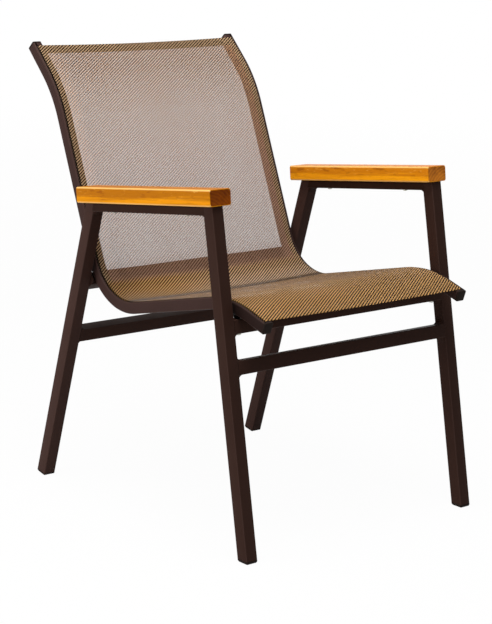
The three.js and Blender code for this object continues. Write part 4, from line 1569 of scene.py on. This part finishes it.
@dataclass
class MeshSling:
    """The stretched fabric: one sheet with a folded hem at its front and its top."""

    plan: ChairPlan
    finishes: Finishes
    thickness: float = 0.0006
    lift: float = 0.0006
    front_sag: float = 0.002
    back_sag: float = 0.005
    slot_edge: float = 0.0070
    slot_play: float = 0.0004
    turn_radius: float = 0.0012
    turn_back: float = 0.0010
    turn_margin: float = 0.0015
    tuck_start: float = 0.0012
    tuck_end: float = 0.0050
    rows: int = 150
    columns: int = 56
    hem_start: float = 0.001
    stitch_pitch: float = 0.0036
    stitch_share: float = 0.78
    stitch_inset: float = 0.002
    stitch_margin: float = 0.004
    stitch_rise: float = 0.00055
    stitch_base: float = 0.00005
    thread_radius: float = 0.00028

    def across_line(self) -> tuple[np.ndarray, np.ndarray, np.ndarray]:
        """The sheet's line across the chair, from the right slot to the left one.

        It is flat between the rails. At each slot it turns down in a quarter circle and
        goes on straight into the slot.

        Returns:
            Places along X, depths without sag, and distances along the cloth.
        """
        plan = self.plan
        edge = plan.rail_outer_x - self.slot_edge + self.slot_play
        bend = np.linspace(0.0, math.pi / 2, 6)
        turn_x = edge + self.turn_radius * np.sin(bend) - self.turn_back
        turn_depth = -self.lift + self.turn_radius * (1 - np.cos(bend))
        down_depth = turn_depth[-1] + np.linspace(self.tuck_start, self.tuck_end, 4)
        down_x = np.full(len(down_depth), turn_x[-1])
        right_x = np.concatenate([turn_x, down_x])
        right_depth = np.concatenate([turn_depth, down_depth])
        inner = np.linspace(-1.0, 1.0, self.columns) * (turn_x[0] - self.turn_margin)
        x = np.concatenate([-right_x[::-1], inner, right_x])
        depth = np.concatenate([right_depth[::-1], np.full(self.columns, -self.lift),
                                right_depth])
        steps = np.hypot(np.diff(x), np.diff(depth))
        cloth = np.concatenate([[0.0], np.cumsum(steps)])
        return x, depth, cloth - cloth[-1] / 2

    def build(self) -> None:
        """Makes the sheet and its stitches.

        The sheet runs along the seating line and is folded under at both ends in a half
        circle. Between the rails it sags by s (1 - (x / h)^2), where h is half the width
        between them and s goes evenly from the front sag to the back sag.
        """
        plan = self.plan
        start, end = plan.sling_front_inset, plan.line.length - plan.sling_top_inset
        half = plan.rail_inner_x
        x, depth, cloth = self.across_line()
        main = np.linspace(start, end, self.rows)
        fold = np.linspace(0.0, math.pi, 7)
        radius = plan.hem_gap / 2
        under = np.linspace(self.hem_start, plan.hem, 8)
        distance = np.concatenate([
            (start + under)[::-1], start - radius * np.sin(fold[1:-1])[::-1], main,
            end + radius * np.sin(fold[1:-1]), end - under,
        ])
        drop = np.concatenate([
            np.full(len(under), plan.hem_gap), radius * (1 - np.cos(fold[1:-1]))[::-1],
            np.zeros(self.rows), radius * (1 - np.cos(fold[1:-1])),
            np.full(len(under), plan.hem_gap),
        ])
        share = np.clip((distance - start) / (end - start), 0.0, 1.0)
        sag = self.front_sag + (self.back_sag - self.front_sag) * share
        bow = np.clip(1 - (x / half) ** 2, 0.0, 1.0)
        tangent = np.stack([np.gradient(x), np.gradient(depth)], axis=1)
        tangent /= np.linalg.norm(tangent, axis=1, keepdims=True)
        full_depth = (depth + drop[:, None] * tangent[:, 0]) + sag[:, None] * bow
        full_x = x - drop[:, None] * tangent[:, 1]
        section = np.stack([full_x, full_depth], axis=2)
        grid = plan.carried(section, distance)
        run = np.concatenate([[0.0], np.cumsum(np.hypot(np.diff(distance), np.diff(drop)))])
        sheet = Shell()
        flat = sheet.add_grid(grid, self.thickness, run,
                              np.broadcast_to(cloth, full_depth.shape))
        piece = sheet.finish("mesh_sling", self.finishes.fabric, Slot.FABRIC, ["sling"],
                             sharp=80.0, cloth=flat)
        stitches = self.stitches(start + plan.hem - self.stitch_inset,
                                 end - plan.hem + self.stitch_inset, half)

    def stitches(self, front: float, top: float, half: float) -> bpy.types.Object:
        """Makes the two rows of stitches that hold the hems.

        Each stitch is a short thread that dips into the cloth at both ends: its height is
        a half sine along its length, and its section is a small circle.

        Args:
            front: the front row's distance along the seating line.
            top: the top row's distance.
            half: half the width between the rails.

        Returns:
            The stitches' object.
        """
        shell = Shell()
        spots = np.arange(-half + self.stitch_margin, half - self.stitch_margin,
                          self.stitch_pitch)
        along_share = np.linspace(0.0, 1.0, 6)
        angle = np.linspace(0.0, 2 * math.pi, 6, endpoint=False)
        for row, share in ((front, 0.0), (top, 1.0)):
            sag = self.front_sag + (self.back_sag - self.front_sag) * share
            place, heading = self.plan.stations(np.array([row]))
            up = up_from(heading[0])
            way = along(heading[0])
            for spot in spots:
                x = spot + along_share * self.stitch_pitch * self.stitch_share
                wave = np.sin(along_share * math.pi)
                rise = (self.stitch_rise * wave + self.stitch_base + self.lift
                        - sag * (1 - (x / half) ** 2))
                centre = place[0] + up * rise[:, None]
                thick = self.thread_radius * np.sqrt(np.clip(wave, 0.15, 1.0))
                ring_y = centre[:, None, :] + thick[:, None, None] * (
                    np.cos(angle)[None, :, None] * way + np.sin(angle)[None, :, None] * up)
                ring_x = np.broadcast_to(x[:, None, None], ring_y.shape[:2] + (1,))
                shell.add_loft(np.concatenate([ring_x, ring_y], axis=2))
        return shell.finish("hem_stitches", self.finishes.thread, Slot.FABRIC, sharp=70.0)


@dataclass
class Armrests:
    """Two varnished boards with eased edges."""

    plan: ChairPlan
    finishes: Finishes
    width: float = 0.049
    thickness: float = 0.030
    nose: float = 0.0057
    tail: float = 0.0175
    inset: float = 0.0033
    edge: float = 0.0034
    end_edge: float = 0.0020
    end_draw: float = 0.8
    rows: int = 24

    def build(self) -> None:
        """Makes both boards.

        A board's section is a rounded rectangle. Near an end it draws in by
        k e (1 - sqrt(1 - (1 - d / e)^2)), where d is the distance to the end, e the easing
        and k the share of it that is drawn in, so that the end's rim is rounded.
        """
        plan = self.plan
        start = -(plan.front_leg_reach + self.nose)
        end = plan.arm_span + plan.rear_leg_reach + self.tail
        ease = self.end_edge * np.sin(np.linspace(0.0, math.pi / 2, 6))
        first, last = start + self.end_edge, end - self.end_edge
        stops = np.concatenate([first - ease[::-1],
                                np.linspace(first, last, self.rows)[1:-1], last + ease])
        for side in Side:
            rings = []
            for stop in stops:
                near = min(stop - start, end - stop)
                back = max(0.0, 1.0 - near / self.end_edge)
                round_off = 1 - math.sqrt(max(0.0, 1 - back * back))
                draw = self.end_edge * self.end_draw * round_off
                outline = rounded_outline(self.width - 2 * draw, self.thickness - 2 * draw,
                                          self.edge, 6)
                outline = outline + np.array([-side.value * self.inset, -self.thickness / 2])
                rings.append(ring_at(outline, stop))
            board = Shell()
            board.add_loft(placed(np.array(rings), plan.arm_point, side.value * plan.leg_x,
                                  plan.arm_turn), rim=outline_rim(), end_share=1.0)
            board.finish(f"arm_board_{side.word}", self.finishes.wood[side], Slot.WOOD,
                         [f"armrest_{side.word}"], sharp=50.0)


@dataclass
class FootPlugs:
    """The four end plugs that the chair stands on."""

    plan: ChairPlan
    finishes: Finishes
    chamfer: float = 0.0014
    chamfer_height: float = 0.0025
    wall: float = 0.0018
    plug: float = 0.020
    ease: float = 0.0002
    shoulder_ease: float = 0.0003
    sole_ease: float = 0.0004

    def rows(self, start: float, stretch: float, lean: float) -> np.ndarray:
        """Rings of a plug, from its sole up into its tube.

        The profile goes up a chamfer, along the wall outside, over the shoulder that the
        tube stands on, and up the plug. Its corners are eased by tenths of a millimetre.

        Args:
            start: height of the sole.
            stretch: how much longer the section is along Y, for a level cut.
            lean: shift along Y for each unit of height.

        Returns:
            Rings of points.
        """
        half, height = self.plan.tube / 2, self.plan.foot_height
        steps = [(half - self.chamfer - self.sole_ease, 0.0), (half - self.chamfer, self.ease),
                 (half - self.ease, self.chamfer_height - self.ease),
                 (half, self.chamfer_height + self.shoulder_ease), (half, height - self.ease),
                 (half - self.shoulder_ease, height), (half - self.wall, height),
                 (half - self.wall, height + self.plug)]
        rings = []
        for reach, level in steps:
            outline = rounded_outline(2 * reach, 2 * reach * stretch, self.plan.tube_corner, 5)
            outline = outline + np.array([0.0, level * lean])
            rings.append(ring_at(outline, start + level))
        return np.array(rings)

    def build(self) -> None:
        """Makes the plugs; the rear ones have a level strip where they meet the floor."""
        plan = self.plan
        for side in Side:
            x = side.value * plan.leg_x
            front = Shell()
            front.add_loft(placed(self.rows(0.0, 1 / math.cos(plan.front_lean),
                                            math.tan(plan.front_lean)),
                                  plan.front_foot, x, 0.0))
            front.finish(f"front_glide_{side.word}", self.finishes.plastic, Slot.PLASTIC,
                         [f"front_foot_{side.word}"], sharp=28.0)
            rear = Shell()
            turned = placed(self.rows(plan.rear_sole, 1.0, 0.0), plan.rear_foot, x,
                            plan.rear_lean)
            turned[..., 2] = np.maximum(turned[..., 2], 0.0)
            rear.add_loft(turned)
            rear.finish(f"rear_glide_{side.word}", self.finishes.plastic, Slot.PLASTIC,
                        [f"rear_foot_{side.word}"], sharp=28.0)


@dataclass
class Fixings:
    """Small parts that keep their own solids: spacers, bolts, nuts, screws and rods."""

    finishes: Finishes

    def build(self) -> None:
        """Gives each its finish."""
        coats = {"spacer": self.finishes.plastic, "bolt": self.finishes.zinc,
                 "nut": self.finishes.zinc, "screw": self.finishes.zinc,
                 "rod": self.finishes.spline}
        for name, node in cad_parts.items():
            for word, material in coats.items():
                if word in name.split("_"):
                    node.data.materials.clear()
                    node.data.materials.append(material)
                    LOG.info("%s: finished", name)


# Studio


@dataclass
class Studio:
    """Pale floor, soft lamps, a white surround, and the camera at the photograph's place."""

    focus: Vector = field(default_factory=lambda: Vector((0.0, 0.0, 0.42)))
    camera_at: tuple = (-2.4376, -2.8244, 1.2167)
    yaw: float = math.radians(40.952)
    pitch: float = math.radians(13.111)
    roll: float = math.radians(2.028)
    lens: float = 113.478
    sensor: float = 36.0
    shift: tuple = (-0.0005, 0.0008)
    surround: float = 0.11
    lamp_colour: tuple = (1.0, 0.985, 0.965)
    floor_reach: float = 14.0
    white_near: float = 0.97
    white_from: float = 1.5
    white_to: float = 6.0

    def build(self) -> None:
        """Makes everything round the chair."""
        self.floor()
        self.world()
        self.lamp("side_soft", (-4.0, 0.8, 1.5), 2.6, 108.0)
        self.lamp("top_soft", (-0.5, -0.5, 2.9), 1.8, 86.0)
        self.camera()

    def floor(self) -> None:
        """Makes the floor: white to the camera, darkened where the chair shades it.

        Near the chair a small share of the floor's own paint shows, and far off none does.
        """
        mesh = bpy.data.meshes.new("studio_floor")
        reach = self.floor_reach
        mesh.from_pydata([(-reach, -reach, 0), (reach, -reach, 0), (reach, reach, 0),
                          (-reach, reach, 0)], [], [(0, 1, 2, 3)])
        piece = bpy.data.objects.new("studio_floor", mesh)
        bpy.context.scene.collection.objects.link(piece)
        material = bpy.data.materials.new("studio_floor")
        material.use_nodes = True
        tree = material.node_tree
        tree.nodes.clear()
        s = Sketch(tree)
        paint = s.node("BsdfDiffuse", {"Color": (0.8, 0.8, 0.8, 1.0)})
        glow = s.node("Emission", {"Color": (1.0, 1.0, 1.0, 1.0), "Strength": 1.0})
        away = s.node("VectorMath", {0: s.node("TexCoord").outputs["Object"]},
                      operation="LENGTH").outputs["Value"]
        white = s.span(away, self.white_from, self.white_to, self.white_near, 1.0)
        both = s.node("MixShader", {0: s.math("MULTIPLY", self.seen_rays(s), white)})
        s.feed(both.inputs[1], paint.outputs[0])
        s.feed(both.inputs[2], glow.outputs[0])
        out = s.node("OutputMaterial")
        s.feed(out.inputs[0], both.outputs[0])
        mesh.materials.append(material)

    def seen_rays(self, s: Sketch) -> bpy.types.NodeSocket:
        """Tells the rays that show a surface from those that light one.

        Args:
            s: the sketch to draw in.

        Returns:
            1 for camera, glossy and transmission rays, and 0 for the rest.
        """
        path = s.node("LightPath")
        seen = s.math("MAXIMUM", path.outputs["Is Camera Ray"], path.outputs["Is Glossy Ray"])
        return s.math("MAXIMUM", seen, path.outputs["Is Transmission Ray"])

    def world(self) -> None:
        """Makes the surround: white where it is seen, and a soft grey light elsewhere."""
        world = bpy.data.worlds.new("studio")
        world.use_nodes = True
        bpy.context.scene.world = world
        s = Sketch(world.node_tree)
        ground = world.node_tree.nodes["Background"]
        ground.inputs["Color"].default_value = (1.0, 1.0, 1.0, 1.0)
        s.feed(ground.inputs["Strength"], s.span(self.seen_rays(s), 0.0, 1.0, self.surround, 1.0))

    def lamp(self, name: str, place: tuple, size: float, power: float) -> None:
        """Makes a soft square lamp that faces the chair.

        Args:
            name: its name.
            place: where it stands.
            size: its side.
            power: its power in watts.
        """
        data = bpy.data.lights.new(name, "AREA")
        data.size = size
        data.energy = power
        data.color = self.lamp_colour
        lamp = bpy.data.objects.new(name, data)
        lamp.location = place
        lamp.rotation_euler = (self.focus - Vector(place)).to_track_quat("-Z", "Y").to_euler()
        bpy.context.scene.collection.objects.link(lamp)

    def camera(self) -> None:
        """Makes the camera from its measured place, yaw, pitch and roll."""
        cy, sy = math.cos(self.yaw), math.sin(self.yaw)
        cp, sp = math.cos(self.pitch), math.sin(self.pitch)
        cr, sr = math.cos(self.roll), math.sin(self.roll)
        ahead = Vector((sy * cp, cy * cp, -sp))
        right = Vector((cy, -sy, 0.0))
        up = right.cross(ahead)
        axis_x, axis_y = right * cr + up * sr, up * cr - right * sr
        turn = Matrix((axis_x, axis_y, -ahead)).transposed()
        data = bpy.data.cameras.new("camera")
        data.lens = self.lens
        data.sensor_width = self.sensor
        data.shift_x, data.shift_y = self.shift
        data.clip_end = 60.0
        camera = bpy.data.objects.new("camera", data)
        camera.matrix_world = Matrix.Translation(self.camera_at) @ turn.to_4x4()
        bpy.context.scene.collection.objects.link(camera)
        bpy.context.scene.camera = camera


def main() -> None:
    """Builds the chair's pieces in order, then the studio."""
    logging.basicConfig(level=logging.INFO, format="%(name)s %(message)s")
    bpy.context.scene.view_settings.view_transform = "Standard"
    plan = ChairPlan()
    finishes = Finishes(plan)
    TubeFrame(plan, finishes).build()
    SlingRails(plan, finishes).build()
    MeshSling(plan, finishes).build()
    Armrests(plan, finishes).build()
    FootPlugs(plan, finishes).build()
    Fixings(finishes).build()
    Studio().build()
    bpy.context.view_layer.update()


if __name__ == "__main__":
    main()
